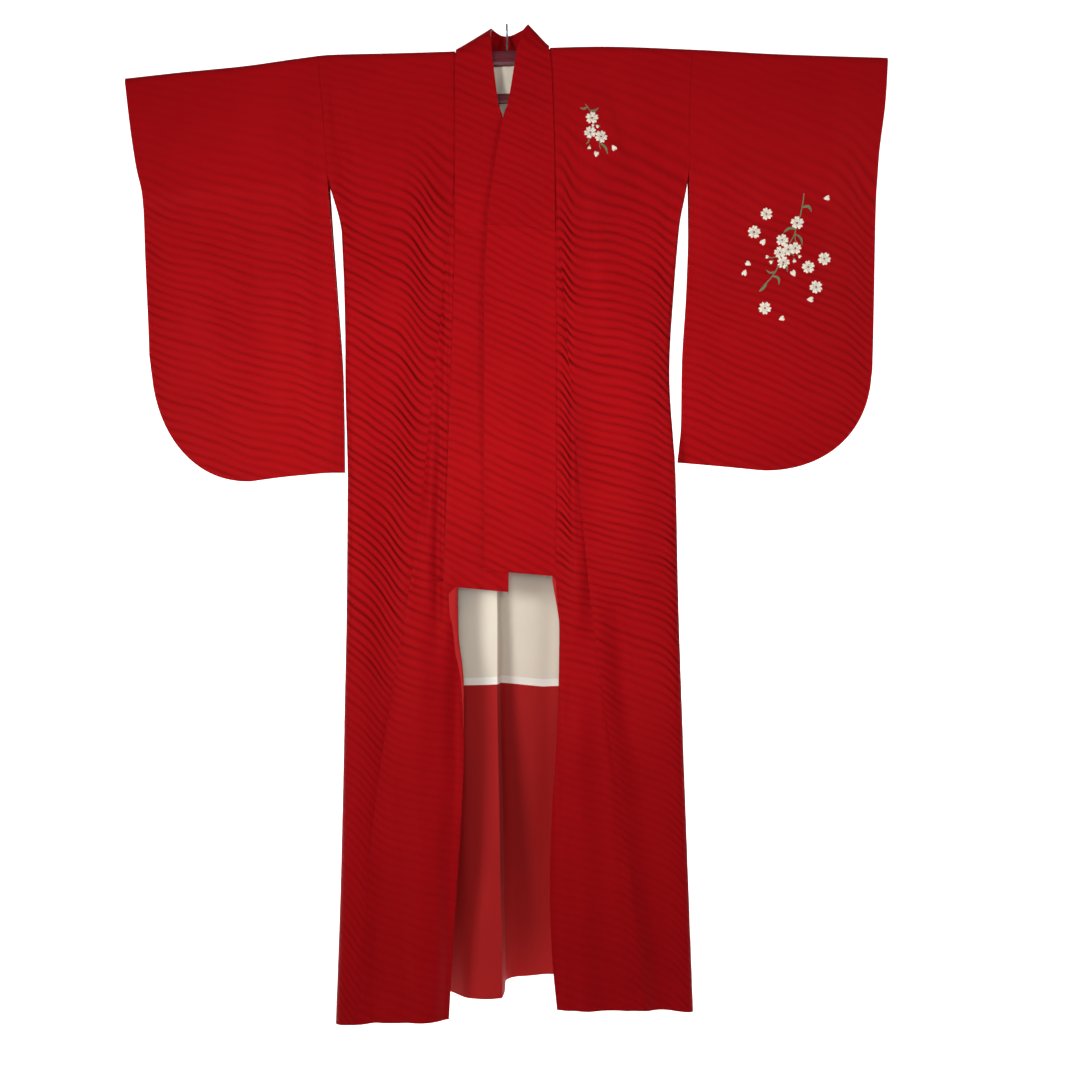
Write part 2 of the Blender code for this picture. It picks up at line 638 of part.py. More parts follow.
def collar_grid(half, end):
    """The collar's points, from an end on the front up round the neck to the centre back."""
    rows = collar_row[half]
    drops = [end] + [row * MM for row in reversed(ROWS) if row * MM < end - ROW_CLEARANCE] + [COLLAR_TOP]
    sign = -1 if half == "right" else 1
    shares = np.linspace(0, 1, COLLAR_COLUMNS)
    grid = []
    for drop in drops:
        seam = rows["seam"](drop) * MM - sign * SEAM / 2
        free = rows["free"](drop) * MM
        line = []
        for share in shares:
            x = seam + (free - seam) * share
            lift = rows["lift"](drop) * MM * smooth(share / 0.6)
            line.append((x, -front_depth(x, drop) - lift, top_of(x) * MM - drop))
        grid.append(line)
    for station in COLLAR_NECK[half]:
        seam = np.array([station.seam_x, station.seam_y, station.seam_z]) * MM
        free = np.array([station.free_x, station.free_y, station.free_z]) * MM
        grid.append([tuple(seam + (free - seam) * share) for share in shares])
    grid = np.array(grid)
    normals = grid_normals(grid, facing(half))
    for i, drop in enumerate(drops):
        normals[i, 0] = front_normal(rows["seam"](drop) * MM, drop)
    return grid, normals


def collars():
    """The collar in two halves, joined at the centre back, and the over-collar on its neck stretch."""
    for half in ("right", "left"):
        grid, normals = collar_grid(half, COLLAR_END[half])
        sign = -1 if half == "right" else 1
        grid[-1, :, 0] += sign * SEAM / 2
        normals[-1] = (0, 1, 0)
        wall("collar_" + half, grid, COLLAR_CLOTH, RED_SILK, normals)
    right, right_normals = collar_grid("right", OVER_COLLAR_END["right"])
    left, left_normals = collar_grid("left", OVER_COLLAR_END["left"])
    whole = np.vstack([right, left[-2::-1]])
    normals = np.vstack([right_normals, left_normals[-2::-1]])
    outside = COLLAR_CLOTH / 2 + 2 * SEAM + OVER_COLLAR_CLOTH / 2
    whole += normals * outside
    whole[:, 0] += OVER_COLLAR_INSET * (whole[:, 1] - whole[:, 0])
    wall("over_collar", whole, OVER_COLLAR_CLOTH, RED_SILK, normals)


def bar_section(height, thickness):
    """A bar's outline in depth and height, round at the top and the foot, its top at zero."""
    radius = thickness / 2
    points = []
    for k in range(5):
        angle = math.pi * k / 4
        points.append((-radius * math.cos(angle), -radius + radius * math.sin(angle)))
    for k in range(5):
        angle = math.pi * k / 4
        points.append((radius * math.cos(angle), -height + radius - radius * math.sin(angle)))
    return points


def swept_bar(name, stations, colour):
    """A closed bar through stations of x, level of its top, height and thickness."""
    vertices = []
    for x, top, height, thickness in stations:
        vertices += [(x, y, top + z) for y, z in bar_section(height, thickness)]
    ring = len(bar_section(1, 1))
    faces = [tuple(range(ring - 1, -1, -1))]
    for k in range(len(stations) - 1):
        for j in range(ring):
            a = k * ring + j
            b = k * ring + (j + 1) % ring
            faces.append((a, b, b + ring, a + ring))
    faces.append(tuple(range((len(stations) - 1) * ring, len(stations) * ring)))
    faces = [tuple(reversed(face)) for face in faces]
    solid(name, vertices, faces, colour, HANGER_ROUGHNESS)


def hanger():
    stations = []
    for x in np.linspace(-BAR_HALF_LENGTH, BAR_HALF_LENGTH, 25):
        share = abs(x) / BAR_HALF_LENGTH
        top = top_of(x) * MM - CLOTH / 2 - BAR_CLEARANCE
        height = BAR_HEIGHT + (BAR_END_HEIGHT - BAR_HEIGHT) * share
        stations.append((x, top, height, BAR_THICKNESS))
    swept_bar("hanger_upper_bar", stations, MAROON_PLASTIC)
    reach = LOWER_BAR_HALF_LENGTH
    lower = [(x, LOWER_BAR_TOP + HANGER_TILT * x, LOWER_BAR_HEIGHT, LOWER_BAR_THICKNESS)
             for x in (-reach, reach)]
    swept_bar("hanger_lower_bar", lower, MAROON_PLASTIC)
    for half, place in (("right", -LINK_PLACE), ("left", LINK_PLACE)):
        share = LINK_PLACE / BAR_HALF_LENGTH
        height = BAR_HEIGHT + (BAR_END_HEIGHT - BAR_HEIGHT) * share
        upper = top_of(place) * MM - CLOTH / 2 - BAR_CLEARANCE - height - SEAM
        lower = LOWER_BAR_TOP + HANGER_TILT * place + SEAM
        link(half, place, lower, upper)
    hook()


def link(half, place, lower, upper):
    """A flat link between the bars, with level ends just clear of both."""
    half_width = LINK_WIDTH / 2
    half_depth = LINK_THICKNESS / 2
    slack = HANGER_TILT * half_width
    corners = [(-1, -1), (1, -1), (1, 1), (-1, 1)]
    vertices = []
    for z in (lower + slack, upper - slack):
        vertices += [(place + a * half_width, b * half_depth, z) for a, b in corners]
    faces = [(0, 3, 2, 1), (4, 5, 6, 7), (0, 1, 5, 4), (1, 2, 6, 5), (2, 3, 7, 6), (3, 0, 4, 7)]
    solid("hanger_link_" + half, vertices, faces, MAROON_PLASTIC, HANGER_ROUGHNESS)


def hook():
    """A wire hook in the plane across the bar, its inside top at the origin."""
    foot = top_of(0.0) * MM - CLOTH / 2 - BAR_CLEARANCE + SEAM
    centre = HOOK_WIRE / 2 - HOOK_RADIUS
    lean = math.radians(-35)
    bend = np.array([HOOK_RADIUS * math.cos(lean), centre + HOOK_RADIUS * math.sin(lean)])
    reach = bend[1] - foot
    route = []
    for t in np.linspace(0, 1, 7)[:-1]:
        route.append((bend[0] * smooth(t), foot + reach * t))
    for angle in np.linspace(lean, math.radians(195), 15):
        route.append((HOOK_RADIUS * math.cos(angle), centre + HOOK_RADIUS * math.sin(angle)))
    curve = bpy.data.curves.new("hanger_hook", "CURVE")
    curve.dimensions = "3D"
    curve.bevel_depth = HOOK_WIRE / 2
    curve.bevel_resolution = 2
    curve.use_fill_caps = True
    spline = curve.splines.new("POLY")
    spline.points.add(len(route) - 1)
    for point, (y, z) in zip(spline.points, route):
        point.co = (0.0, y, z, 1.0)
    thing = bpy.data.objects.new("hanger_hook", curve)
    bpy.context.collection.objects.link(thing)
    finish(thing, STEEL, HANGER_ROUGHNESS, 1.0)


body()
for side_name in ("right", "left"):
    overlap(side_name)
    sleeve(side_name)
collars()
hanger()
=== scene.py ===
"""The looks of a women's kimono that hangs on a two-bar kimono hanger.

Metres, +Z up, +X to the viewer's right, +Y away from the viewer. The origin is the inside top of the
hanger's hook. Right and left are the wearer's. Places on the cloth are given by x and by the drop
below the fold over the shoulder, and every table is in millimetres.
"""
import math
from collections import namedtuple

import bpy
import numpy as np
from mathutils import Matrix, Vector


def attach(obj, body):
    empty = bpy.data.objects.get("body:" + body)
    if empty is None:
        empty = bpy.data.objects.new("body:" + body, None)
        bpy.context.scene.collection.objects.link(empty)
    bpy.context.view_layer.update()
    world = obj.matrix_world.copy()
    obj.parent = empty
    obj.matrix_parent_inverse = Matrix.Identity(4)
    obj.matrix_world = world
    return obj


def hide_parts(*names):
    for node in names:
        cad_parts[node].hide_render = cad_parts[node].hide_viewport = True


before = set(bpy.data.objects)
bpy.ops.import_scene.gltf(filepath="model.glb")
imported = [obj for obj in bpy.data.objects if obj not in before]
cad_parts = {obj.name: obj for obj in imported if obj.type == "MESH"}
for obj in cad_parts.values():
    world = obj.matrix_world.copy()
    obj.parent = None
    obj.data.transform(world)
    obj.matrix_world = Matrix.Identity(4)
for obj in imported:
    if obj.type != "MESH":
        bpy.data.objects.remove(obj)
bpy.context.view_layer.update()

MM = 0.001

# The camera
# It stands level with the middle of the garment, 2.4 m in front of the hanger's middle, and takes in
# the whole garment with a margin below.
CAMERA_PLACE = (0.0561, -2.40, -0.8738)
CAMERA_LENS = 47.06
CAMERA_SENSOR = 36.0


def placed(name, data):
    """A new object in the scene, from its data."""
    thing = bpy.data.objects.new(name, data)
    bpy.context.collection.objects.link(thing)
    return thing


camera_data = bpy.data.cameras.new("camera")
camera_data.lens = CAMERA_LENS
camera_data.sensor_width = CAMERA_SENSOR
camera = placed("camera", camera_data)
camera.location = CAMERA_PLACE
camera.rotation_euler = (math.pi / 2, 0, 0)
bpy.context.scene.camera = camera

# Body panels
# One length of figured red silk for each half, from the front hem over the shoulder to the back hem,
# lined, and seamed at the centre back and down the side. The front is cut away from the neck
# outwards, where the collar and the overlap are sewn on.
CLOTH = 1.4 * MM
PLY_GAP = 0.3 * MM
FOLD_RADIUS = 9 * MM
NECK_DROP = 17 * MM
FRONT_HEM = {"right": 1627 * MM, "left": 1617 * MM}
BACK_HEM = 1612 * MM
OVERLAP_POINT = 200 * MM
OVERLAP_SHOULDER = 255 * MM
SLEEVE_SET = 200 * MM
SIDE_SEAM_TOP = 310 * MM
SIDE_ROUNDING = 22 * MM
BACK_ROUNDING = 12 * MM
ROW_STEP = 9 * MM
FRONT_COLUMNS = 54
NECK_COLUMNS = 20
FOLD_PLACES = [-9, -6, -3, 0, 3, 6, 9]


def table(kind, *entries):
    """A table's rows, with the named columns of their kind."""
    return [kind(*entry) for entry in entries]


TopLine = namedtuple("TopLine", "x z")
TOP_LINE = table(TopLine,
    (-646, -90), (-556, -80), (-445, -69), (-352, -56), (-300, -50), (-182, -47), (-85, -44), (0, -41),
    (70, -38), (158, -36), (314, -41), (464, -49), (646, -55))
Edge = namedtuple("Edge", "drop right left")
BODY_EDGE = table(Edge,
    (0, -321, 315), (90, -313, 310), (200, -304, 308), (310, -279, 291), (425, -277, 284),
    (550, -277, 279), (730, -273, 290), (930, -274, 294), (1130, -277, 300), (1365, -281, 308),
    (1627, -289, 317))
Level = namedtuple("Level", "drop front back inset")
LEVELS = table(Level,
    (0, 9, 9, 0), (100, 12, 12, 0), (200, 15, 16, 0), (255, 16, 18, 1), (310, 17, 20, 2),
    (600, 24, 42, 18), (900, 35, 66, 38), (1300, 50, 96, 60), (1627, 62, 120, 78))
OverlapSeam = namedtuple("OverlapSeam", "drop right left")
OVERLAP_SEAM = table(OverlapSeam,
    (0, -88, 73), (90, -88, 78), (245, -91, 83), (390, -106, 93), (615, -129, 111), (790, -146, 126),
    (970, -173, 145), (1110, -196, 163), (1262, -218, 187), (1430, -233, 211), (1627, -246, 235))
BackFold = namedtuple("BackFold", "drop seam near far")
BACK_FOLD = table(BackFold,
    (0, -1, 9, 9), (100, -1, 12, 12), (200, -1, 16, 16), (310, -4, 19, 20), (600, -12, 30, 42),
    (930, -19, 32, 68), (1075, -19, 34, 80), (1300, -15, 22, 97), (1627, -9, -4, 120))
RidgePoint = namedtuple("RidgePoint", "across share")
RIDGE = {
    "right": table(RidgePoint, (0, 0.04), (-24, 0), (-60, 0.1), (-105, 0.6), (-150, 1)),
    "left": table(RidgePoint, (0, 0.04), (3, 0.25), (3, 0.85), (18, 1)),
}
CollarRow = namedtuple("CollarRow", "drop seam free lift")
COLLAR_FRONT = {
    "right": table(CollarRow,
        (0, -88, -26, 0), (60, -88, -19, 0), (95, -88, -14, 0), (120, -88, -6, 0), (200, -88, 3, 0),
        (314, -88, 8, 0), (450, -91, 9, 0), (600, -96, 9, 0), (760, -101, 7, 0), (913, -106, 3, 0)),
    "left": table(CollarRow,
        (0, 73, 17, 0), (60, 77, 8, 1.5), (95, 78, 2, 4), (120, 79, -6, 6), (200, 81, -20, 7),
        (309, 82, -33, 8), (450, 83, -38, 8), (600, 83, -38, 8), (760, 83, -38, 5), (893, 82, -38, 5)),
}
# The long folds, by the x of their top and foot and the drops between which they run. A fold that
# ends at the drop of the longer hem runs out over it.
LONG_HEM = 1627
Fold = namedtuple("Fold", "top_x foot_x start end width height")
FRONT_FOLDS = table(Fold,
    (-292, -262, 15, 330, 11, -3.5), (-205, -228, 40, 520, 26, 4), (-120, -158, 260, 900, 20, -5),
    (-236, -250, 480, 1627, 22, 6), (-200, -215, 640, 1627, 15, -5), (-150, -140, 900, 1627, 24, 7),
    (178, 236, 10, 330, 16, -6), (140, 168, 40, 560, 17, 6), (112, 120, 300, 1050, 13, 6),
    (206, 226, 360, 1100, 24, 5), (172, 262, 860, 1627, 13, -16), (200, 292, 900, 1627, 24, -6),
    (118, 134, 1050, 1627, 20, 6), (138, 142, 240, 1050, 9, -4.5), (-113, -117, 330, 1040, 9, -8))
# Finer creases that lie on the long folds.
FRONT_CREASES = table(Fold,
    (-301, -285, 20, 210, 5, -2), (-268, -240, 30, 240, 8, 1.8), (-172, -182, 60, 700, 9, 1.4),
    (-94, -101, 190, 905, 4, -1.4), (-113, -125, 150, 905, 13, 4.5), (-132, -150, 560, 1000, 8, -1.4),
    (-222, -206, 900, 1627, 8, 1.6), (-262, -270, 380, 1627, 7, 1.8), (-184, -164, 1100, 1627, 8, -1.8),
    (-118, -110, 1180, 1627, 9, 1.4), (-74, -96, 860, 1627, 16, -13), (92, 106, 60, 560, 6, -2.6),
    (116, 110, 70, 900, 6, 3.2), (160, 214, 15, 240, 6, -2), (292, 262, 40, 330, 7, -2),
    (256, 250, 200, 700, 9, 1.8), (190, 184, 420, 1000, 7, -1.6), (152, 200, 980, 1627, 7, 1.8),
    (222, 262, 1000, 1627, 7, -2.2), (104, 112, 1000, 1627, 8, -1.6), (79, 84, 880, 1627, 11, -6),
    (-250, -120, 0, 120, 9, -0.9), (230, 120, 0, 110, 9, -0.8))
BACK_FOLDS = table(Fold,
    (-230, -205, 60, 900, 24, 4), (-150, -175, 300, 1627, 20, -7), (-95, -120, 80, 700, 16, 4),
    (95, 70, 200, 1627, 20, 8), (150, 140, 300, 1627, 18, -8), (210, 190, 60, 1627, 24, 7))
BACK_CREASES = table(Fold,
    (-286, -262, 20, 260, 7, -1.5), (-200, -180, 40, 620, 8, 1.3), (-118, -138, 420, 1627, 8, -1.4),
    (-60, -74, 60, 520, 8, 1.2), (60, 48, 80, 760, 9, -1.2), (118, 104, 260, 1627, 8, 1.5),
    (182, 170, 160, 1627, 9, -1.5), (248, 226, 60, 980, 9, 1.4), (-230, -214, 860, 1627, 8, 1.4))
# Where the cloth turns away from the front, the figure's ribs run down across it more steeply: the x of
# the top and foot of such a stretch, the drops between which it lies, its half width, and how far the
# ribs go down in it.
RibStep = namedtuple("RibStep", "top_x foot_x start end width down")
FRONT_RIB_STEPS = table(RibStep,
    (-116, -262, 40, 1627, 26, 50), (-276, -262, 60, 460, 14, 16), (-226, -244, 200, 1300, 28, 20),
    (-266, -276, 420, 1627, 12, 12), (-104, -112, 200, 1000, 9, 10), (104, 99, 40, 1000, 11, 27),
    (150, 178, 60, 760, 26, -5), (262, 260, 180, 820, 16, 26), (150, 232, 900, 1627, 16, 22),
    (276, 296, 640, 1627, 18, 32))
BACK_RIB_STEPS = table(RibStep,
    (-206, -190, 60, 1627, 22, 26), (-120, -150, 120, 1627, 18, -14), (96, 74, 120, 1627, 18, 24),
    (212, 190, 80, 1627, 22, 22))
RIB_FADE = 260 * MM
# How deep the figure's ribs are at a drop, and with them how dark the painted shade in their grooves:
# they lie flatter and are shaded less over the shoulders and below the knee, and deeper and darker where
# they run steeply.
RibDepthAndShade = namedtuple("RibDepthAndShade", "drop share")
RIB_DEPTH_AND_SHADE = table(RibDepthAndShade,
    (0, 0.35), (140, 0.45), (280, 0.95), (900, 0.95), (1150, 0.45), (1400, 0.3), (1627, 0.35))
RIB_DEEPENING_AND_SHADE = 1.4
FOLD_FADE = 130 * MM
FOLD_WANDER = 0.12
FOLD_SWELL = 0.18
FOLD_CROWDING = 1.7
SEAM_DIP = 0.9 * MM
SEAM_DIP_WIDTH = 4 * MM
PATH_SAMPLES = 480
FRONT_SAMPLES = 160
BACK_SAMPLES = 140
CREASE_START = 50 * MM
SHADING_ANGLE = 50


def reader(rows, column):
    """A smooth curve, with no overshoot, through one column of a table, for one place or many."""
    places = np.array([row[0] for row in rows]) * MM
    values = np.array([getattr(row, column) for row in rows], float)
    secants = np.diff(values) / np.diff(places)
    slopes = np.concatenate([secants[:1], np.zeros(len(values) - 2), secants[-1:]])
    for k in range(1, len(values) - 1):
        before = secants[k - 1]
        after = secants[k]
        if before * after > 0:
            slopes[k] = 2 * before * after / (before + after)

    def read(place):
        place = np.clip(place, places[0], places[-1])
        k = np.clip(np.searchsorted(places, place, side="right") - 1, 0, len(places) - 2)
        step = places[k + 1] - places[k]
        t = (place - places[k]) / step
        start = (1 + 2 * t) * (1 - t) ** 2 * values[k] + t * (1 - t) ** 2 * step * slopes[k]
        end = t * t * (3 - 2 * t) * values[k + 1] + t * t * (t - 1) * step * slopes[k + 1]
        return start + end

    return read


def readers(rows):
    """One reader for each column of a table after the first."""
    return {column: reader(rows, column) for column in rows[0]._fields[1:]}


def smooth(t):
    """An even rise from 0 to 1."""
    t = np.clip(t, 0.0, 1.0)
    return t * t * (3 - 2 * t)


top_of = reader(TOP_LINE, "z")
body_edge = readers(BODY_EDGE)
level = readers(LEVELS)
overlap_seam = readers(OVERLAP_SEAM)
back_fold = readers(BACK_FOLD)
collar_row = {half: readers(COLLAR_FRONT[half]) for half in COLLAR_FRONT}
rib_share = reader(RIB_DEPTH_AND_SHADE, "share")


def fold_height(folds, x, drop):
    """The height of all the folds of a table, in metres. They wander a little on their way down."""
    x, drop = np.broadcast_arrays(np.asarray(x, float), np.asarray(drop, float))
    height = np.zeros(x.shape)
    for number, fold in enumerate(folds):
        start = fold.start * MM
        end = fold.end * MM
        along = (drop - start) / (end - start)
        wander = FOLD_WANDER * fold.width * MM * np.sin(drop * 23 + number * 1.7)
        middle = (fold.top_x + (fold.foot_x - fold.top_x) * along) * MM + wander
        fade = min(FOLD_FADE, (end - start) / 2.2)
        rise = smooth((drop - start) / fade)
        fall = 1.0 if fold.end >= LONG_HEM else smooth((end - drop) / fade)
        swell = 1 + FOLD_SWELL * np.sin(drop * 15 + number * 2.3)
        height += fold.height * MM * rise * fall * swell * np.exp(-((x - middle) / (fold.width * MM)) ** 2)
    return height


def rib_fall(steps, x, drop):
    """How far the ribs have gone down in the steps of a table, and how deep they are there, which also
    sets how dark the painted shade in their grooves is.
    """
    x, drop = np.broadcast_arrays(np.asarray(x, float), np.asarray(drop, float))
    fall = np.zeros(x.shape)
    steepness = np.zeros(x.shape)
    for step in steps:
        start = step.start * MM
        end = step.end * MM
        middle = (step.top_x + (step.foot_x - step.top_x) * (drop - start) / (end - start)) * MM
        share = smooth((drop - start) / RIB_FADE)
        if step.end < LONG_HEM:
            share = share * smooth((end - drop) / RIB_FADE)
        across = np.tanh((x - middle) / (step.width * MM))
        fall += step.down * MM * share * (1 + across) / 2
        steepness += abs(step.down) / (2 * step.width) * share * (1 - across ** 2)
    # Steep stretches, where the cloth turns away from the front, get deeper ribs and darker painted shade
    # in their grooves.
    return fall, rib_share(drop) * (1 + RIB_DEEPENING_AND_SHADE * steepness)


def on_cloth(x, place, depth):
    """Points at places of the cloth, which turns over the shoulder fold. Places behind it are negative."""
    x, place, depth = np.broadcast_arrays(np.asarray(x, float), place, depth)
    side = np.where(place >= 0, -1.0, 1.0)
    drop = np.abs(place)
    top = top_of(x) * MM
    angle = np.clip(drop / FOLD_RADIUS, 0, 1) * math.pi / 2
    y = np.where(drop < FOLD_RADIUS, side * FOLD_RADIUS * np.sin(angle), side * depth)
    z = np.where(drop < FOLD_RADIUS, top - FOLD_RADIUS * (1 - np.cos(angle)), top - drop)
    return np.stack([x, y, z], axis=-1)


def front_depth(x, drop):
    return (level["front"](drop) * MM + fold_height(FRONT_FOLDS, x, drop)
            + fold_height(FRONT_CREASES, x, drop) * smooth(drop / CREASE_START))


def lengths_along(path):
    """How far each point of a path lies from its first."""
    return np.concatenate([[0], np.cumsum(np.linalg.norm(np.diff(path, axis=0), axis=1))])


def spaced(path, places):
    """Points along a path, at places given as shares of its length."""
    lengths = lengths_along(path)
    places = np.asarray(places) * lengths[-1]
    return np.column_stack([np.interp(places, lengths, path[:, k]) for k in range(path.shape[1])])


def rounded(path, reach):
    """A path with its corners rounded over a reach to each side."""
    length = np.linalg.norm(np.diff(path, axis=0), axis=1).sum()
    dense = spaced(path, np.linspace(0, 1, PATH_SAMPLES + 1))
    half = max(1, min(200, int(round(PATH_SAMPLES * reach / length))))
    head = 2 * dense[0] - dense[half:0:-1]
    tail = 2 * dense[-1] - dense[-2:-half - 2:-1]
    padded = np.vstack([head, dense, tail])
    kernel = np.ones(2 * half + 1) / (2 * half + 1)
    return np.column_stack([np.convolve(padded[:, k], kernel, mode="valid") for k in range(2)])


def side_points(half, drop):
    """The front corner, the back corner, and the edge that the front's return reaches at one level."""
    sign = -1 if half == "right" else 1
    edge = body_edge[half](drop) * MM
    front = np.array([edge, -front_depth(edge, drop)])
    back = np.array([edge - sign * level["inset"](drop) * MM, level["back"](drop) * MM])
    closed = smooth((drop - SLEEVE_SET) / (SIDE_SEAM_TOP - SLEEVE_SET))
    return front, back, front + closed * (back - front)


def front_start(half, drop):
    """The front panel's inner edge: the collar's seam, and below the overlap's point its seam."""
    if drop >= OVERLAP_SHOULDER:
        return overlap_seam[half](drop) * MM
    if drop <= OVERLAP_POINT:
        return collar_row[half]["seam"](drop) * MM
    top = collar_row[half]["seam"](OVERLAP_POINT)
    foot = overlap_seam[half](OVERLAP_SHOULDER)
    return (top + (foot - top) * (drop - OVERLAP_POINT) / (OVERLAP_SHOULDER - OVERLAP_POINT)) * MM


def dip_at_ends(path, first=1.0, last=1.0):
    """How far the cloth is drawn in towards the seams at the two ends of a section."""
    lengths = lengths_along(path)
    return SEAM_DIP * (first * np.exp(-(lengths / SEAM_DIP_WIDTH) ** 2)
                       + last * np.exp(-((lengths[-1] - lengths) / SEAM_DIP_WIDTH) ** 2))


def front_section(half, drop, columns):
    """The front panel in plan at one level, from its inner edge to the side seam."""
    front, _, seam = side_points(half, drop)
    x = np.linspace(front_start(half, drop), front[0], FRONT_SAMPLES)
    run = np.column_stack([x, -front_depth(x, drop)])
    if np.linalg.norm(seam - front) > 1 * MM:
        run = np.vstack([run, seam])
    reach = max(SIDE_ROUNDING * smooth((drop - SLEEVE_SET) / 0.3), 1.5 * MM)
    section = spaced(rounded(run, reach), np.linspace(0, 1, columns))
    section[:, 1] += dip_at_ends(section, last=1.0 if drop < SLEEVE_SET else 0.0)
    return section


def back_section(half, drop, shares):
    """The back panel in plan at one level, from the centre-back seam to the side seam."""
    _, corner, _ = side_points(half, drop)
    middle = back_fold["seam"](drop) * MM
    near = back_fold["near"](drop) * MM
    far = back_fold["far"](drop) * MM
    run = [(middle + point.across * MM, near + (far - near) * point.share) for point in RIDGE[half]]
    x = np.linspace(run[-1][0], corner[0], BACK_SAMPLES)[1:]
    y = far + fold_height(BACK_FOLDS, x, drop) + fold_height(BACK_CREASES, x, drop) * smooth(drop / 0.06)
    run = np.vstack([np.array(run), np.column_stack([x, y])[:-1], corner])
    section = spaced(rounded(run, BACK_ROUNDING), shares)
    section[:, 1] -= dip_at_ends(section, last=1.0 if drop < SLEEVE_SET else 0.0)
    return section


def rows_between(first, last, step):
    return list(np.linspace(first, last, int(round(abs(last - first) / step)) + 1))


def arc_lengths(grid, depth_weight=1.0):
    """How far each point of a row lies from the row's first, in plan. A depth counted more than once
    crowds the figured weave on the flanks of a fold, as on real cloth."""
    steps = np.diff(grid, axis=1) * np.array([1.0, depth_weight, 1.0])
    lengths = np.cumsum(np.linalg.norm(steps[:, :, :2], axis=2), axis=1)
    return np.concatenate([np.zeros((len(grid), 1)), lengths], axis=1)


def grid_faces(rows, columns, flip, start=0):
    faces = []
    for i in range(rows - 1):
        for j in range(columns - 1):
            a = start + i * columns + j
            b = a + columns
            face = (a, a + 1, b + 1, b)
            faces.append(tuple(reversed(face)) if flip else face)
    return faces


def grid_normals(grid, flip):
    """The outward direction at each point of a grid."""
    normal = np.cross(np.gradient(grid, axis=1), np.gradient(grid, axis=0)) * (-1 if flip else 1)
    return normal / np.linalg.norm(normal, axis=-1, keepdims=True)


def mapped_mesh(name, points, faces, layer_name, places, materials):
    """A smooth mesh, with its points' places on the flat cloth, in metres, in a UV map."""
    mesh = bpy.data.meshes.new(name)
    mesh.from_pydata(np.asarray(points).reshape(-1, 3).tolist(), [], faces)
    layer = mesh.uv_layers.new(name=layer_name)
    corners = np.zeros(len(mesh.loops), int)
    mesh.loops.foreach_get("vertex_index", corners)
    layer.data.foreach_set("uv", np.asarray(places, np.float32).reshape(-1, 2)[corners].ravel())
    for material in materials:
        mesh.materials.append(material)
    mesh.shade_smooth()
    return mesh


def cloth_piece(name, points, places, faces, thickness, materials, rib_depth_and_shade=1.0):
    """A lined cloth with its wall, from the points of its middle. The first material is the outside's,
    and the second one the inside's. The depth of the ribs, which also sets how dark the painted shade in
    their grooves is, goes into an attribute."""
    mesh = mapped_mesh(name, points, faces, "flat_cloth", places, materials)
    depth_and_shade_layer = mesh.attributes.new("rib_depth_and_shade", "FLOAT", "POINT")
    depth_and_shade_values = np.broadcast_to(np.ravel(rib_depth_and_shade), len(mesh.vertices))
    depth_and_shade_layer.data.foreach_set("value", depth_and_shade_values.astype(np.float32))
    thing = placed(name, mesh)
    wall = thing.modifiers.new("wall", "SOLIDIFY")
    wall.thickness = thickness
    wall.offset = 0.0
    wall.material_offset = len(materials) - 1
    wall.material_offset_rim = 0
    bpy.ops.object.select_all(action="DESELECT")
    bpy.context.view_layer.objects.active = thing
    thing.select_set(True)
    bpy.ops.object.modifier_apply(modifier="wall")
    bpy.ops.object.shade_smooth_by_angle(angle=math.radians(SHADING_ANGLE))
    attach(thing, "root")
    return thing


def linear(code):
    """A linear colour from an sRGB hex code."""
    parts = [int(code[k:k + 2], 16) / 255 for k in (1, 3, 5)]
    return tuple(p / 12.92 if p <= 0.04045 else ((p + 0.055) / 1.055) ** 2.4 for p in parts) + (1.0,)


def feed(tree, node, **links):
    """Sets or links a node's inputs. An input is named by its own name, with _ for a space, or by its
    number after an n. A node stands for its first output."""
    for key, value in links.items():
        socket = node.inputs[int(key[1:])] if key[1:].isdigit() else node.inputs[key.replace("_", " ")]
        if isinstance(value, bpy.types.Node):
            value = value.outputs[0]
        if isinstance(value, bpy.types.NodeSocket):
            tree.links.new(value, socket)
        else:
            socket.default_value = value
    return node


def add(tree, kind, settings=None, **links):
    """A new shader node with its settings and its inputs."""
    node = tree.nodes.new("ShaderNode" + kind)
    for key, value in (settings or {}).items():
        setattr(node, key, value)
    return feed(tree, node, **links)


def new_material(name):
    material = bpy.data.materials.new(name)
    material.use_nodes = True
    return material, material.node_tree, material.node_tree.nodes["Principled BSDF"]


# The silk is a satin with a damask figure of wavy ribs that run down to the right, about 15 mm apart.
# The ribs stand up softly, with a narrow dull groove between them that fades in and out. The groove's
# dark colour is partly the figure's duller weave and partly painted shade, strongest where the cloth turns
# steeply away from the front. The thread itself, 0.1 mm, is drawn ten times as coarse so that it shows.
RIB_SPACING = 14.9 * MM
RIB_SLOPE = 0.27
RIB_DRIFT = 0.022
RIB_WAVE = 0.009
GROOVE_SHARPNESS = 1.8
PATCH_WIDTH = 1 / 9
PATCH_HEIGHT = 1 / 60
THREAD_SPACING = 1.0 * MM
WAVE_PERIOD = 0.314  # of Blender's wave texture at a scale of 1
FLAT = {"noise_dimensions": "2D"}
TIMES = {"operation": "MULTIPLY"}
TIMES_PLUS = {"operation": "MULTIPLY_ADD"}
THREADS = {"wave_type": "BANDS", "wave_profile": "SIN"}
COLOURS = {"data_type": "RGBA"}


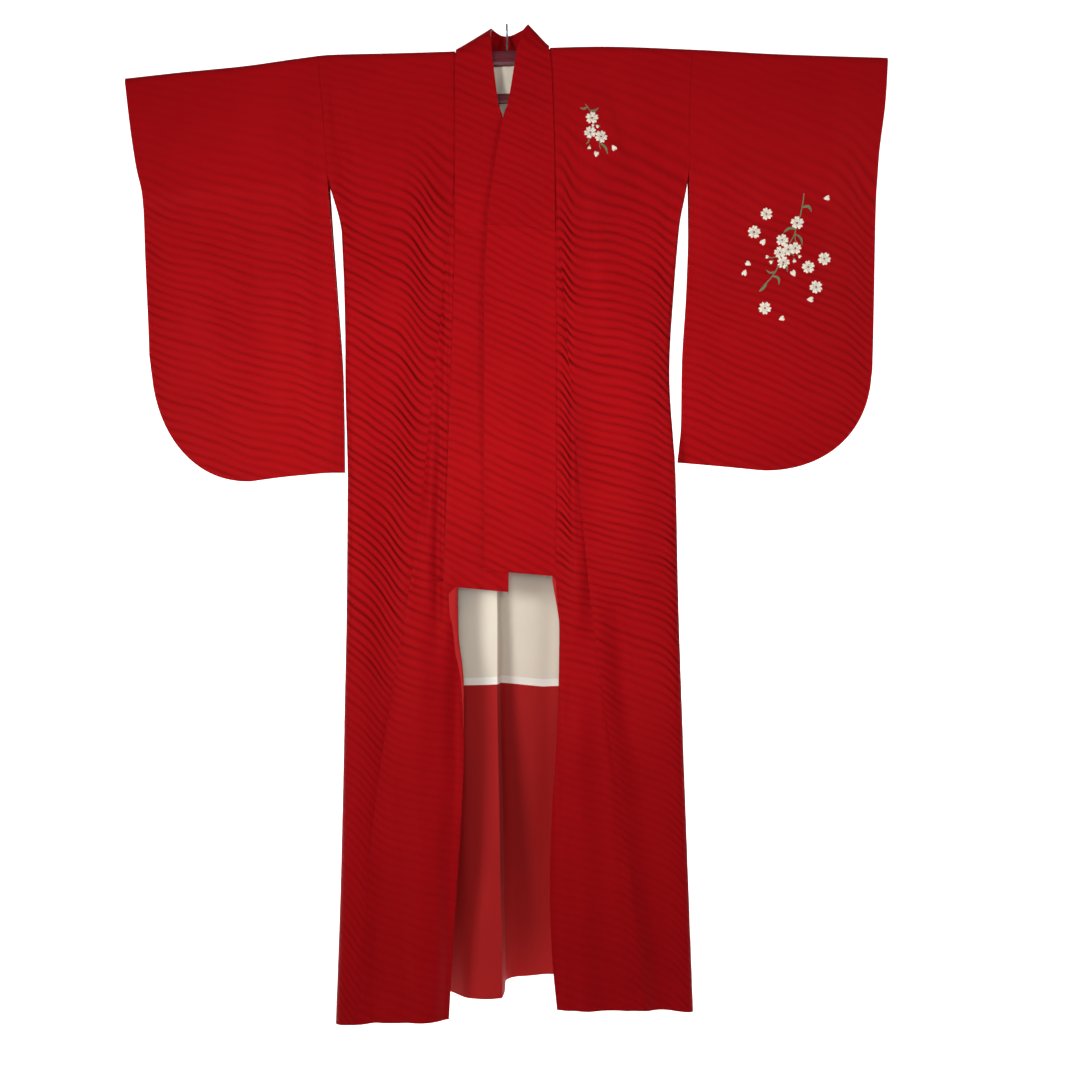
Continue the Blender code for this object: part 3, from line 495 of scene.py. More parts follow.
def figured_silk(name, bright, groove_shade, dull):
    material, tree, shader = new_material(name)
    place = add(tree, "UVMap", {"uv_map": "flat_cloth"})
    drift = add(tree, "TexNoise", FLAT, Vector=place, Scale=4.0, Detail=1.0)
    wave = add(tree, "TexNoise", FLAT, Vector=place, Scale=13.0, Detail=1.0)
    apart = add(tree, "SeparateXYZ", Vector=place)
    lean = add(tree, "Math", TIMES_PLUS, n0=apart.outputs["X"], n1=-RIB_SLOPE, n2=apart.outputs["Y"])
    drifted = add(tree, "Math", TIMES_PLUS, n0=drift, n1=RIB_DRIFT, n2=lean)
    waved = add(tree, "Math", TIMES_PLUS, n0=wave, n1=RIB_WAVE, n2=drifted)
    phase = add(tree, "Math", TIMES, n0=waved, n1=2 * math.pi / RIB_SPACING)
    ribs = add(tree, "Math", {"operation": "SINE"}, n0=phase)
    even = add(tree, "Math", TIMES_PLUS, n0=ribs, n1=0.5, n2=0.5)
    narrow = add(tree, "Math", {"operation": "POWER"}, n0=even, n1=GROOVE_SHARPNESS)
    stretch = add(tree, "Mapping", {"vector_type": "TEXTURE"}, Vector=place,
                  Rotation=(0, 0, math.atan(RIB_SLOPE)), Scale=(PATCH_WIDTH, PATCH_HEIGHT, 1.0))
    broken = add(tree, "TexNoise", FLAT, Vector=stretch, Scale=1.0, Detail=1.5)
    # The rib depth attribute also sets how dark the painted shade in the grooves is.
    depth = add(tree, "Attribute", {"attribute_name": "rib_depth_and_shade"})
    fading = add(tree, "MapRange", Value=broken, n1=0.3, n2=0.64, n3=0.22, n4=0.48)
    strength = add(tree, "Math", {"operation": "MULTIPLY", "use_clamp": True},
                   n0=depth.outputs["Fac"], n1=fading)
    groove_and_shade = add(tree, "Math", TIMES, n0=narrow, n1=strength)
    blotch = add(tree, "TexNoise", FLAT, Vector=place, Scale=5.0, Detail=3.0)
    ground = add(tree, "Mix", COLOURS, n0=blotch, n6=linear(bright), n7=linear(dull))
    # The groove colour is painted shade laid into the grooves over the figure's duller weave.
    colour = add(tree, "Mix", COLOURS, n0=groove_and_shade, n6=ground.outputs[2], n7=linear(groove_shade))
    rough = add(tree, "MapRange", Value=groove_and_shade, n3=0.48, n4=0.7)
    threads = add(tree, "TexWave", THREADS | {"bands_direction": "X"}, Vector=place,
                  Scale=WAVE_PERIOD / THREAD_SPACING, Distortion=0.6, Detail=1.0)
    lower = add(tree, "Math", TIMES, n0=groove_and_shade, n1=-1.0)
    relief = add(tree, "Math", TIMES_PLUS, n0=threads.outputs["Fac"], n1=0.06, n2=lower)
    bump = add(tree, "Bump", Height=relief, Strength=0.5, Distance=0.9 * MM)
    feed(tree, shader, Base_Color=colour.outputs[2], Roughness=rough, Normal=bump, Sheen_Weight=0.04,
         Sheen_Roughness=0.4, Sheen_Tint=linear("#FF3A30"), Specular_IOR_Level=0.14,
         Specular_Tint=linear("#FF5A4C"))
    return material


RED_SILK = figured_silk("red_figured_silk", "#A60D14", "#5A0305", "#970A11")

# Plain lining silk: cream above, dull red at the hems. It is a light plain weave with no figure.
LINING_JOIN = 1078 * MM
JOIN_TUCK = 10 * MM
JOIN_TILT = 0.15
JOIN_TILT_REACH = 110 * MM


def plain_silk(name, base, shade, tuck=None):
    material, tree, shader = new_material(name)
    place = add(tree, "UVMap", {"uv_map": "flat_cloth"})
    blotch = add(tree, "TexNoise", FLAT, Vector=place, Scale=6.0, Detail=3.0)
    colour = add(tree, "Mix", COLOURS, n0=blotch, n6=linear(base), n7=linear(shade)).outputs[2]
    if tuck:
        apart = add(tree, "SeparateXYZ", Vector=place)
        inside = add(tree, "Math", {"operation": "GREATER_THAN"}, n0=apart.outputs["Y"],
                     n1=LINING_JOIN - JOIN_TUCK)
        colour = add(tree, "Mix", COLOURS, n0=inside, n6=colour, n7=linear(tuck)).outputs[2]
    threads = add(tree, "TexWave", THREADS | {"bands_direction": "Y"}, Vector=place,
                  Scale=WAVE_PERIOD / THREAD_SPACING, Distortion=1.0, Detail=1.0)
    bump = add(tree, "Bump", Height=threads.outputs["Fac"], Strength=0.25, Distance=0.15 * MM)
    feed(tree, shader, Base_Color=colour, Roughness=0.7, Normal=bump, Specular_IOR_Level=0.15,
         Sheen_Weight=0.03)
    return material


DULL_RED_LINING = plain_silk("dull_red_lining_silk", "#B81E1E", "#AA1818")
CREAM_LINING = plain_silk("cream_lining_silk", "#F4EBDA", "#E8DDC9", tuck="#FFFBF0")

back_grids = {}
panels = {}
for half in ("right", "left"):
    flip = half == "right"
    sign = -1 if flip else 1
    places = rows_between(FRONT_HEM[half], 20 * MM, ROW_STEP) + [14 * MM]
    places += [place * MM for place in reversed(FOLD_PLACES)] + [-13 * MM, -NECK_DROP]
    front = []
    for place in places:
        section = front_section(half, abs(place), FRONT_COLUMNS)
        depth = -section[:, 1] if place > 0 else np.full(FRONT_COLUMNS, level["back"](-place) * MM)
        front.append(on_cloth(section[:, 0], place, depth))
    front = np.array(front)
    start = 1 - abs(front[-1, -1, 0] - front[-1, 0, 0]) / (abs(front[-1, -1, 0]) - 1 * MM)
    shares = np.concatenate([np.linspace(0, start, NECK_COLUMNS + 1)[:-1],
                             np.linspace(start, 1, FRONT_COLUMNS)])
    back_places = [NECK_DROP] + rows_between(28 * MM, BACK_HEM, ROW_STEP)
    back = []
    for place in back_places:
        section = back_section(half, place, shares)
        back.append(on_cloth(section[:, 0], -place, section[:, 1]))
    back = np.array(back)
    back[0, NECK_COLUMNS:] = front[-1]
    back_grids[half] = (back, back_places, grid_normals(back, flip))

    down = np.array(places)[:, None]
    fall, rib_depth_and_shade = rib_fall(FRONT_RIB_STEPS, front[:, :, 0], np.abs(down))
    front_x = front[-1, 0, 0] + sign * arc_lengths(front, FOLD_CROWDING)
    back_down = np.array(back_places)[:, None]
    back_fall, back_rib_depth_and_shade = rib_fall(BACK_RIB_STEPS, back[:, :, 0], back_down)
    back_arc = arc_lengths(back, FOLD_CROWDING)
    back_x = front[-1, 0, 0] + sign * (back_arc - back_arc[:, NECK_COLUMNS:NECK_COLUMNS + 1])

    count = front.shape[0] * FRONT_COLUMNS
    points = np.vstack([front.reshape(-1, 3), back.reshape(-1, 3)])
    flat = np.column_stack([np.concatenate([front_x.ravel(), back_x.ravel()]),
                            np.concatenate([(down - fall).ravel(), (back_fall - back_down).ravel()])])
    faces = grid_faces(front.shape[0], FRONT_COLUMNS, flip)
    shared = {count + NECK_COLUMNS + j: count - FRONT_COLUMNS + j for j in range(FRONT_COLUMNS)}
    for face in grid_faces(back.shape[0], len(shares), flip, start=count):
        faces.append(tuple(shared.get(k, k) for k in face))
    used = np.unique(np.array(faces))
    number = {int(old): new for new, old in enumerate(used)}
    faces = [tuple(number[k] for k in face) for face in faces]
    rib_depth_and_shade = np.concatenate([rib_depth_and_shade.ravel(), back_rib_depth_and_shade.ravel()])[used]
    panel = panels[half] = cloth_piece("body_" + half, points[used], flat[used], faces, CLOTH,
                                       [RED_SILK, DULL_RED_LINING], rib_depth_and_shade)
    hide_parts("body_shoulder_" + half, "body_front_" + half, "body_side_" + half,
                "body_upper_back_" + half, "body_back_" + half)

# Back linings
# Two linings of plain silk hang inside the back and show between the open fronts: cream from the
# neck to knee height, joined by a flat tuck to dull red from there to the hem.
LINING = 1.0 * MM
LINING_MARGIN = 2 * MM
LINING_INSET = CLOTH / 2 + PLY_GAP + LINING / 2

centre = back_grids["right"][2][:, 0] + back_grids["left"][2][:, 0]
centre /= np.linalg.norm(centre, axis=-1, keepdims=True)
for half in ("right", "left"):
    grid, places, normals = back_grids[half]
    normals[:, 0] = centre
    inner = grid - normals * LINING_INSET
    across = arc_lengths(grid)
    near_join = np.exp(-((np.array(places)[:, None] - LINING_JOIN) / JOIN_TILT_REACH) ** 2)
    inner[:, :, 2] -= JOIN_TILT * np.clip(inner[:, :, 0] - inner[:, :1, 0], 0, 80 * MM) * near_join
    join = int(np.argmin([abs(place - LINING_JOIN) for place in places]))
    for name, node, first, last, material, slot in (
            ("cream_lining_", "lining_upper_", 0, join + 1, CREAM_LINING, "cream_lining"),
            ("red_lining_", "lining_lower_", join, len(places), DULL_RED_LINING, "red_lining")):
        part = inner[first:last].copy()
        if first == 0:
            part[0, :, 2] -= LINING_MARGIN
        else:
            part[-1, :, 2] += LINING_MARGIN
        rows, columns = part.shape[:2]
        down = np.repeat(np.array(places[first:last])[:, None], columns, axis=1)
        uv = np.stack([across[first:last], down], axis=-1)
        faces = grid_faces(rows, columns, half == "right")
        lining = cloth_piece(name + half, part, uv, faces, LINING, [material])
        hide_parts(node + half)

# Front overlaps
# A narrow panel of the same silk on each front edge, pointed where it meets the collar. Its free edge
# is turned in. Below the collar's end it curls forward, the right one most, and shows its lining.
FrontEdge = namedtuple("FrontEdge", "drop right left")
FRONT_EDGE = table(FrontEdge,
    (870, -84, 76), (900, -83, 78), (985, -82, 89), (1075, -73, 88), (1180, -72, 84), (1300, -76, 76),
    (1420, -84, 73), (1530, -91, 77), (1627, -96, 86))
COLLAR_END = {"right": 913 * MM, "left": 893 * MM}
COLLAR_COVER = 14 * MM
COLLAR_COVER_DEPTH = 2.4 * MM
OVERLAP_TIP = 25 * MM
OVERLAP_COLUMNS = 26
SEAM_ALLOWANCE = 1.2 * MM
# How far the curl's edge comes back over the panel.
Curl = namedtuple("Curl", "drop width")
CURL = {
    "right": table(Curl, (909, 0), (921, 14), (960, 12), (1010, 8), (1080, 2.5), (1160, 0), (1627, 0)),
    "left": table(Curl, (896, 0), (906, 4), (930, 2), (980, 0), (1627, 0)),
}
CURL_DEPTH = 7 * MM
CURL_TURN = 1.6
CURL_FLATNESS = 1.4
CURL_BULGE = 0.35
CURL_BULGE_TO = 6 * MM
CURL_COLUMNS = 9
front_edge = readers(FRONT_EDGE)
curl_width = {half: reader(CURL[half], "width") for half in CURL}
overlaps = {}

for half in ("right", "left"):
    sign = -1 if half == "right" else 1
    end = COLLAR_END[half]
    drops = [OVERLAP_POINT + 1 * MM, OVERLAP_POINT + OVERLAP_TIP]
    drops += rows_between(OVERLAP_SHOULDER, end - COLLAR_COVER - 4 * MM, ROW_STEP)
    drops += [end - COLLAR_COVER, end - 6 * MM, end + 3 * MM, end + 8 * MM]
    drops += rows_between(end + 12 * MM, FRONT_HEM[half], ROW_STEP)
    grid = []
    for drop in drops:
        start = front_start(half, drop)
        below = drop > end - COLLAR_COVER - 1 * MM
        free = (front_edge[half] if below else collar_row[half]["seam"])(drop) * MM
        x = np.linspace(start + sign * SEAM_ALLOWANCE, free, OVERLAP_COLUMNS)
        section = np.column_stack([x, -front_depth(x, drop)])
        section[:, 1] += dip_at_ends(section, first=1.6, last=0.0 if below else 1.0)
        if below:
            covered = smooth(sign * (collar_row[half]["seam"](end) * MM - section[:, 0]) / (6 * MM))
            section[:, 1] += COLLAR_COVER_DEPTH * covered * smooth(1 - (drop - end - 4 * MM) / COLLAR_COVER)
        row = on_cloth(section[:, 0], drop, -section[:, 1])
        turn = curl_width[half](drop) * MM if below else 0.0
        edge = row[-1]
        inward = -sign
        curl = []
        for k in range(1, CURL_COLUMNS + 1):
            t = k / CURL_COLUMNS
            angle = math.pi * min(t * CURL_TURN, 1.0)
            lift = min(CURL_DEPTH, turn * 0.5) * (1 - math.cos(angle)) / 2
            back_over = turn * t ** CURL_FLATNESS
            bulge = min(turn, CURL_BULGE_TO) * CURL_BULGE * math.sin(angle)
            curl.append(edge + np.array([-inward * back_over + inward * bulge, -lift - t * 0.02 * MM, 0]))
        grid.append(np.vstack([row, curl]))
    grid = np.array(grid)
    down = np.array(drops)[:, None]
    fall, rib_depth_and_shade = rib_fall(FRONT_RIB_STEPS, grid[:, :, 0], down)
    flat_x = overlap_seam[half](down) * MM - sign * arc_lengths(grid, FOLD_CROWDING)
    flat = np.stack([flat_x, down - fall], axis=-1)
    faces = [tuple(reversed(face)) for face in grid_faces(len(drops), grid.shape[1], half == "left")]
    overlap = overlaps[half] = cloth_piece("front_overlap_" + half, grid, flat, faces, CLOTH,
                                           [RED_SILK, DULL_RED_LINING], rib_depth_and_shade)
    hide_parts("overlap_" + half)

# Sleeves
# One length of the silk each, folded at the shoulder, sewn along the foot and up the outer edge to
# the cuff opening, with a wide round lower corner. The edge towards the body is left open below the
# armhole seam, and passes behind the body's front.
SleeveEdge = namedtuple("SleeveEdge", "drop x")
SLEEVE_INNER = {
    "right": table(SleeveEdge, (200, -304), (300, -297), (420, -288), (555, -279), (715, -276)),
    "left": table(SleeveEdge, (200, 308), (310, 309), (405, 306), (545, 298), (630, 297), (705, 290)),
}
SLEEVE_OUTER = {
    "right": table(SleeveEdge,
        (0, -648), (87, -638), (155, -628), (206, -618), (300, -615), (470, -608), (700, -604)),
    "left": table(SleeveEdge,
        (0, 646), (70, 642), (175, 630), (240, 627), (445, 623), (530, 621), (700, 616)),
}
SleeveFoot = namedtuple("SleeveFoot", "inner_x inner_z corner_x corner_z width height")
SLEEVE_FOOT = {
    "right": SleeveFoot(-276, -762, -438, -779, 168, 215),
    "left": SleeveFoot(290, -743, 438, -757, 182, 172),
}
CORNER_ROUNDNESS = 2.2
SleeveSpace = namedtuple("SleeveSpace", "drop inner outer behind")
SLEEVE_SPACE = table(SleeveSpace,
    (0, 9, 9, 0), (100, 12, 9, 0), (200, 15.3, 7, 0.3), (230, 14, 3, 1), (290, 11, 0.95, 3),
    (450, 7, 0.95, 6), (720, 4, 0.95, 8))
SLEEVE_FOLDS = table(Fold,
    (-345, -330, 30, 640, 15, 3), (-430, -420, 60, 620, 30, -3), (-540, -500, 40, 560, 30, 3),
    (340, 330, 20, 600, 14, 3), (450, 430, 60, 600, 30, -3), (560, 520, 40, 560, 26, 3))
SLEEVE_CREASES = table(Fold,
    (-326, -316, 10, 300, 7, -1.5), (-384, -372, 120, 700, 10, 1.1), (-480, -470, 160, 700, 12, -1.0),
    (-590, -566, 60, 520, 10, 1.0), (326, 320, 10, 280, 7, -1.5), (380, 372, 100, 690, 10, 1.1),
    (500, 476, 140, 690, 12, -1.0), (592, 574, 60, 500, 10, 1.0))
SLEEVE_RIB_STEPS = table(RibStep,
    (-600, -600, 20, 1627, 30, 26), (-350, -320, 20, 1627, 20, 14), (-470, -450, 60, 1627, 60, 22),
    (600, 592, 20, 1627, 26, 30), (350, 330, 160, 1627, 20, 8), (500, 470, 160, 1627, 60, 20))
SLEEVE_RIB_SHARE = 0.65
SLEEVE_SWELL = 3.5 * MM
SWELL_START = 0.25
FOOT_CLOSING = 0.12
SLEEVE_ROWS = 63
OUTER_CROWDING = 0.65
CLOSED_SPACE = 0.95 * MM
SLEEVE_COLUMNS = 44
sleeve_inner = {half: reader(SLEEVE_INNER[half], "x") for half in SLEEVE_INNER}
sleeve_outer = {half: reader(SLEEVE_OUTER[half], "x") for half in SLEEVE_OUTER}
sleeve_space = readers(SLEEVE_SPACE)
sleeves = {}


def sleeve_length(half, across):
    """The drop of the sleeve's foot at shares of the way across it."""
    foot = SLEEVE_FOOT[half]
    seam_x = body_edge[half](0)
    top_x = seam_x + (SLEEVE_OUTER[half][0].x - seam_x) * across
    foot_x = foot.inner_x + (SLEEVE_OUTER[half][-2].x - foot.inner_x) * across
    along = (foot_x - foot.inner_x) / (foot.corner_x - foot.inner_x)
    foot_z = foot.inner_z + (foot.corner_z - foot.inner_z) * np.minimum(along, 1.0)
    share = np.clip((np.abs(foot_x) - abs(foot.corner_x)) / foot.width, 0.0, 1.0)
    rise = foot.height * (1 - (1 - share ** CORNER_ROUNDNESS) ** (1 / CORNER_ROUNDNESS))
    return (top_of(top_x * MM) - foot_z - rise) * MM


def sleeve_edges(half, drop):
    """The x of the sleeve's two upright edges at drops below the shoulder fold."""
    inner = np.where(drop > SLEEVE_SET, sleeve_inner[half](drop), body_edge[half](drop)) * MM
    return inner, sleeve_outer[half](drop) * MM


def sleeve_points(half, across, place, length):
    """Points of the sleeve. Places behind the shoulder fold are negative."""
    drop = np.abs(place)
    inner, outer = sleeve_edges(half, drop)
    armhole = np.where(place > 0, level["front"](drop), level["back"](drop)) * MM
    inside = np.where(drop > SLEEVE_SET, sleeve_space["inner"](drop) * MM, armhole)
    x = inner + (outer - inner) * across
    gap = inside + (sleeve_space["outer"](drop) * MM - inside) * smooth(across)
    gap = gap + SLEEVE_SWELL * np.sin(math.pi * across) * smooth(drop / SWELL_START)
    gap = CLOSED_SPACE + (gap - CLOSED_SPACE) * smooth((1 - drop / length) / FOOT_CLOSING)
    behind = sleeve_space["behind"](drop) * MM * (1 - across)
    inside_edges = smooth(across / 0.08) * smooth((1 - across) / 0.1)
    wave = (fold_height(SLEEVE_FOLDS, x, drop) + fold_height(SLEEVE_CREASES, x, drop)) * inside_edges
    points = on_cloth(x, place, gap)
    points[..., 1] += behind - wave * smooth(drop / 0.03)
    return points


for half in ("right", "left"):
    evens = np.linspace(0, 1, SLEEVE_COLUMNS)
    shares = (1 - OUTER_CROWDING) * evens + OUTER_CROWDING * np.sin(math.pi / 2 * evens)
    lengths = sleeve_length(half, shares)
    head = rows_between(SLEEVE_SET, 20 * MM, ROW_STEP) + [14 * MM]
    fold = [place * MM for place in reversed(FOLD_PLACES)]
    columns = []
    drops = []
    for across, length in zip(shares, lengths):
        lower = np.linspace(length, SLEEVE_SET, SLEEVE_ROWS + 1)[:-1]
        down = np.concatenate([lower, head])
        places = np.concatenate([down, fold, -down[::-1]])
        columns.append(sleeve_points(half, across, places, length))
        drops.append(places)
    grid = np.array(columns).transpose(1, 0, 2)
    down = np.array(drops).T
    sign = -1 if half == "right" else 1
    fall, rib_depth_and_shade = rib_fall(SLEEVE_RIB_STEPS, grid[:, :, 0], np.abs(down))
    flat_x = grid[:, :1, 0] + sign * arc_lengths(grid, FOLD_CROWDING)
    flat = np.stack([flat_x, down - np.sign(down) * fall], axis=-1)
    faces = grid_faces(grid.shape[0], SLEEVE_COLUMNS, half == "right")
    sleeve = sleeves[half] = cloth_piece("sleeve_" + half, grid, flat, faces, CLOTH,
                                         [RED_SILK, DULL_RED_LINING], SLEEVE_RIB_SHARE * rib_depth_and_shade)
    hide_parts("sleeve_front_" + half, "sleeve_back_" + half)

# Collar and over-collar
# A long band of the silk, folded double round a stiffening. It is pieced at the centre back, stands
# round the neck and runs down both fronts, where it opens flat. The left end lies over the right one.
# The over-collar is a second band on its neck stretch, ended by a short cross seam on each front.
COLLAR_CLOTH = 2.0 * MM
OVER_COLLAR_CLOTH = 1.2 * MM
OVER_COLLAR_END = {"right": 312 * MM, "left": 310 * MM}
OVER_COLLAR_INSET = 0.12
COLLAR_END_TILT = 0.13
COLLAR_END_REACH = 80 * MM
COLLAR_END_LEVEL_X = {"right": -52 * MM, "left": 50 * MM}
COLLAR_TOP = 22 * MM
COLLAR_COLUMNS = 17
COLLAR_SEAM_U = 0.09
OVER_COLLAR_SEAM_U = 0.11
# The collars' rib depths also set how dark the painted shade in the ribs' grooves is.
COLLAR_RIB_DEPTH_AND_SHADE = 0.75
COLLAR_RIB_TILT = 0.2
OVER_COLLAR_RIB_DEPTH_AND_SHADE = 0.65
NECK_ROWS = 57
NeckStation = namedtuple("NeckStation", "seam_x seam_y seam_z free_x free_y free_z")
COLLAR_NECK = {
    "right": table(NeckStation,
        (-87, -9.5, -52, -26, -10, -41), (-86, -5, -45, -27, -7, -20), (-85, 1, -43, -26, 2, -6),
        (-84, 8, -48, -22, 13, -4), (-74, 11, -58, -17, 18, -6), (-55, 11, -59, -13, 20, -8),
        (-30, 11, -58.3, -8, 21, -10), (-1, 11, -57.3, -1, 21.5, -10.5)),
    "left": table(NeckStation,
        (72, -9.5, -46, 18, -10, -39), (71, -5, -39, 27, -7, -18), (70, 1, -37, 34, 2, 2),
        (69, 8, -42, 28, 13, -1), (61, 11, -53.5, 20, 18, -4), (45, 11, -55.2, 13, 20, -7),
        (24, 11, -56.3, 6, 21, -9.5), (-1, 11, -57.3, -1, 21.5, -10.5)),
}


def through(rows, count):
    """Rows of numbers at even steps on a smooth curve through the given ones."""
    rows = np.array(rows, float)
    ends = np.vstack([2 * rows[0] - rows[1], rows, 2 * rows[-1] - rows[-2]])
    result = []
    for place in np.linspace(0, len(rows) - 1, count):
        k = min(int(place), len(rows) - 2)
        t = place - k
        before, first, second, after = ends[k:k + 4]
        bend = (2 * before - 5 * first + 4 * second - after) * t ** 2
        result.append(0.5 * (2 * first + (second - before) * t + bend
                             + (3 * first - before - 3 * second + after) * t ** 3))
    return np.array(result)


def collar_grid(half, end):
    """The collar's points, from an end on the front up round the neck to the centre back, and how far
    along the band each row lies."""
    rows = collar_row[half]
    shares = np.linspace(0, 1, COLLAR_COLUMNS)
    grid = []
    for drop in rows_between(end, COLLAR_TOP, ROW_STEP):
        seam = rows["seam"](drop) * MM
        free = rows["free"](drop) * MM
        x = seam + (free - seam) * shares
        depth = front_depth(x, drop) + rows["lift"](drop) * MM * smooth(shares / 0.6)
        row = on_cloth(x, drop, depth)
        near_end = smooth(1 - (end - drop) / COLLAR_END_REACH)
        row[:, 2] -= COLLAR_END_TILT * (x - COLLAR_END_LEVEL_X[half]) * near_end
        grid.append(row)
    stations = np.array(COLLAR_NECK[half]) * MM
    last = grid[-1]
    stations = np.vstack([np.concatenate([last[0], last[-1]]), stations])
    for station in through(stations, NECK_ROWS)[1:]:
        grid.append(station[:3] + (station[3:] - station[:3]) * shares[:, None])
    grid = np.array(grid)
    along = lengths_along(grid[:, COLLAR_COLUMNS // 2])
    return grid, grid_normals(grid, half == "left"), end - along


def band_uv(grid, along, seam, way=1):
    """Places on the flat band, from the u of its seam and the way that u runs from there."""
    lengths = np.cumsum(np.linalg.norm(np.diff(grid, axis=1), axis=2), axis=1)
    across = np.concatenate([np.zeros((len(grid), 1)), lengths], axis=1)
    return np.stack([seam + way * across, along[:, None] - way * COLLAR_RIB_TILT * across], axis=-1)


collars = {}
for half in ("right", "left"):
    grid, normals, along = collar_grid(half, COLLAR_END[half])
    faces = grid_faces(len(grid), COLLAR_COLUMNS, half == "left")
    way = 1 if half == "right" else -1
    flat = band_uv(grid, along, -COLLAR_SEAM_U * way, way)
    collar = collars[half] = cloth_piece("collar_band_" + half, grid, flat, faces, COLLAR_CLOTH, [RED_SILK],
                                         COLLAR_RIB_DEPTH_AND_SHADE)
    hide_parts("collar_" + half)

right, right_normals, right_along = collar_grid("right", OVER_COLLAR_END["right"])
left, left_normals, left_along = collar_grid("left", OVER_COLLAR_END["left"])
whole = np.vstack([right, left[-2::-1]])
normals = np.vstack([right_normals, left_normals[-2::-1]])
whole += normals * (COLLAR_CLOTH / 2 + 2 * PLY_GAP + OVER_COLLAR_CLOTH / 2)
shift = OVER_COLLAR_INSET * (whole[:, 1] - whole[:, 0])
taper = (1 - np.linspace(0, 1, COLLAR_COLUMNS))[None, :, None]
whole += shift[:, None, :] * taper
beyond = 2 * right_along[-1] - (left_along[-2::-1] - left_along[-1] + right_along[-1])
along = np.concatenate([right_along, beyond])
faces = grid_faces(len(whole), COLLAR_COLUMNS, False)
flat = band_uv(whole, along, OVER_COLLAR_SEAM_U)
over_collar = cloth_piece("over_collar_band", whole, flat, faces, OVER_COLLAR_CLOTH, [RED_SILK],
                          OVER_COLLAR_RIB_DEPTH_AND_SHADE)
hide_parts("over_collar")

# Embroidery
# Two sprays of small five-petalled blossoms, one on the left chest and one on the left sleeve, worked
# by hand in ivory, olive and brown silk floss. The satin stitches are laid side by side over a thin
# padding, so that each petal and leaf stands up a little from the cloth.
FLOSS_SPACING = 0.5 * MM
PADDING = 0.75 * MM
SUNK = 0.35 * MM
RIM_HEIGHT = 0.1
NOTCH_DEPTH = 0.2
NOTCH_WIDTH = 0.24
STRIP_COLUMNS = 7
Blossom = namedtuple("Blossom", "x z radius turn")
Bud = namedtuple("Bud", "x z size turn")
Petal = namedtuple("Petal", "x z size turn")
Stem = namedtuple("Stem", "points width")
Leaf = namedtuple("Leaf", "x z tip_x tip_z width bend")
CHEST_SPRAY = {
    "blossoms": table(Blossom, (144, -161, 11.2, 10), (141, -186, 10.8, 40), (159, -193, 11.2, 65)),
    "buds": table(Bud, (156, -175, 3.6, 200), (140, -209, 3.8, 260), (148, -174, 3.2, 190)),
    "petals": table(Petal, (178, -206, 6.5, 300), (150, -229, 6.2, 80)),
    "stems": table(Stem,
        ([(133, -137), (137, -143), (142, -152)], 1.6), ([(158, -200), (156, -207), (158, -214)], 1.3)),
    "leaves": table(Leaf,
        (137, -141, 124, -143, 3.6, 0.22), (141, -148, 155, -143, 3.4, -0.2),
        (155, -204, 170, -222, 4.2, 0.18), (139, -196, 134, -206, 2.6, 0.15)),
}
SLEEVE_SPRAY = {
    "blossoms": table(Blossom,
        (492, -336, 11.8, 20), (467, -365, 10.9, 0), (463, -386, 10.6, 30), (489, -379, 11.0, 15),
        (477, -381, 10.8, 50), (469, -403, 11.2, 5), (440, -321, 10.8, 35), (419, -352, 11.6, 12),
        (538, -397, 11.6, 60), (511, -411, 11.4, 25), (524, -445, 11.6, 40), (438, -480, 11.4, 55)),
    "buds": table(Bud,
        (445, -394, 3.8, 170), (451, -400, 4.0, 215), (487, -397, 4.0, 280), (494, -391, 3.6, 320)),
    "petals": table(Petal,
        (536, -296, 6.4, 10), (438, -363, 7.0, 235), (405, -415, 6.6, 250), (414, -408, 6.4, 150),
        (489, -427, 7.0, 120), (508, -466, 7.0, 0), (461, -500, 6.2, 20)),
    "stems": table(Stem,
        ([(503, -287), (501, -305), (497, -326)], 2.0), ([(490, -346), (487, -357), (479, -371)], 1.7),
        ([(489, -352), (489, -364), (493, -376)], 1.5),
        ([(463, -402), (457, -416), (449, -428), (440, -438), (432, -448)], 2.0),
        ([(447, -395), (455, -394), (462, -393)], 1.3), ([(487, -392), (482, -388), (477, -388)], 1.3)),
    "leaves": table(Leaf,
        (500, -311, 516, -318, 5.2, 0.35), (491, -347, 469, -353, 4.6, -0.2),
        (489, -355, 500, -374, 3.8, 0.2), (455, -418, 440, -415, 3.2, 0.25),
        (461, -408, 476, -419, 4.4, 0.35), (449, -426, 461, -441, 4.6, 0.35),
        (441, -436, 428, -452, 5.4, 0.08)),
}


def chest_surface(x, z):
    """Points of the middle of the left front panel's cloth."""
    drop = top_of(x) * MM - z
    return np.stack([x, -front_depth(x, drop), z], axis=-1)


def sleeve_surface(x, z):
    """Points of the middle of the left sleeve's front."""
    drop = top_of(x) * MM - z
    inner, outer = sleeve_edges("left", drop)
    across = (x - inner) / (outer - inner)
    return sleeve_points("left", across, drop, sleeve_length("left", across))


def satin_stitch(name, light, stitch_shade):
    """Silk floss: bright, with a strong sheen along the stitches and a fine dark line of painted shade
    between them.
    """
    material, tree, shader = new_material(name)
    place = add(tree, "UVMap", {"uv_map": "stitches"})
    floss = add(tree, "TexWave", THREADS | {"bands_direction": "X"}, Vector=place,
                Scale=WAVE_PERIOD / FLOSS_SPACING, Distortion=0.8, Detail=1.0).outputs["Fac"]
    # The dark colour between the stitches is painted shade.
    colour = add(tree, "Mix", COLOURS, n0=floss, n6=linear(stitch_shade), n7=linear(light))
    bump = add(tree, "Bump", Height=floss, Strength=0.5, Distance=0.2 * MM)
    feed(tree, shader, Base_Color=colour.outputs[2], Roughness=0.42, Normal=bump, Sheen_Weight=0.3)
    return material


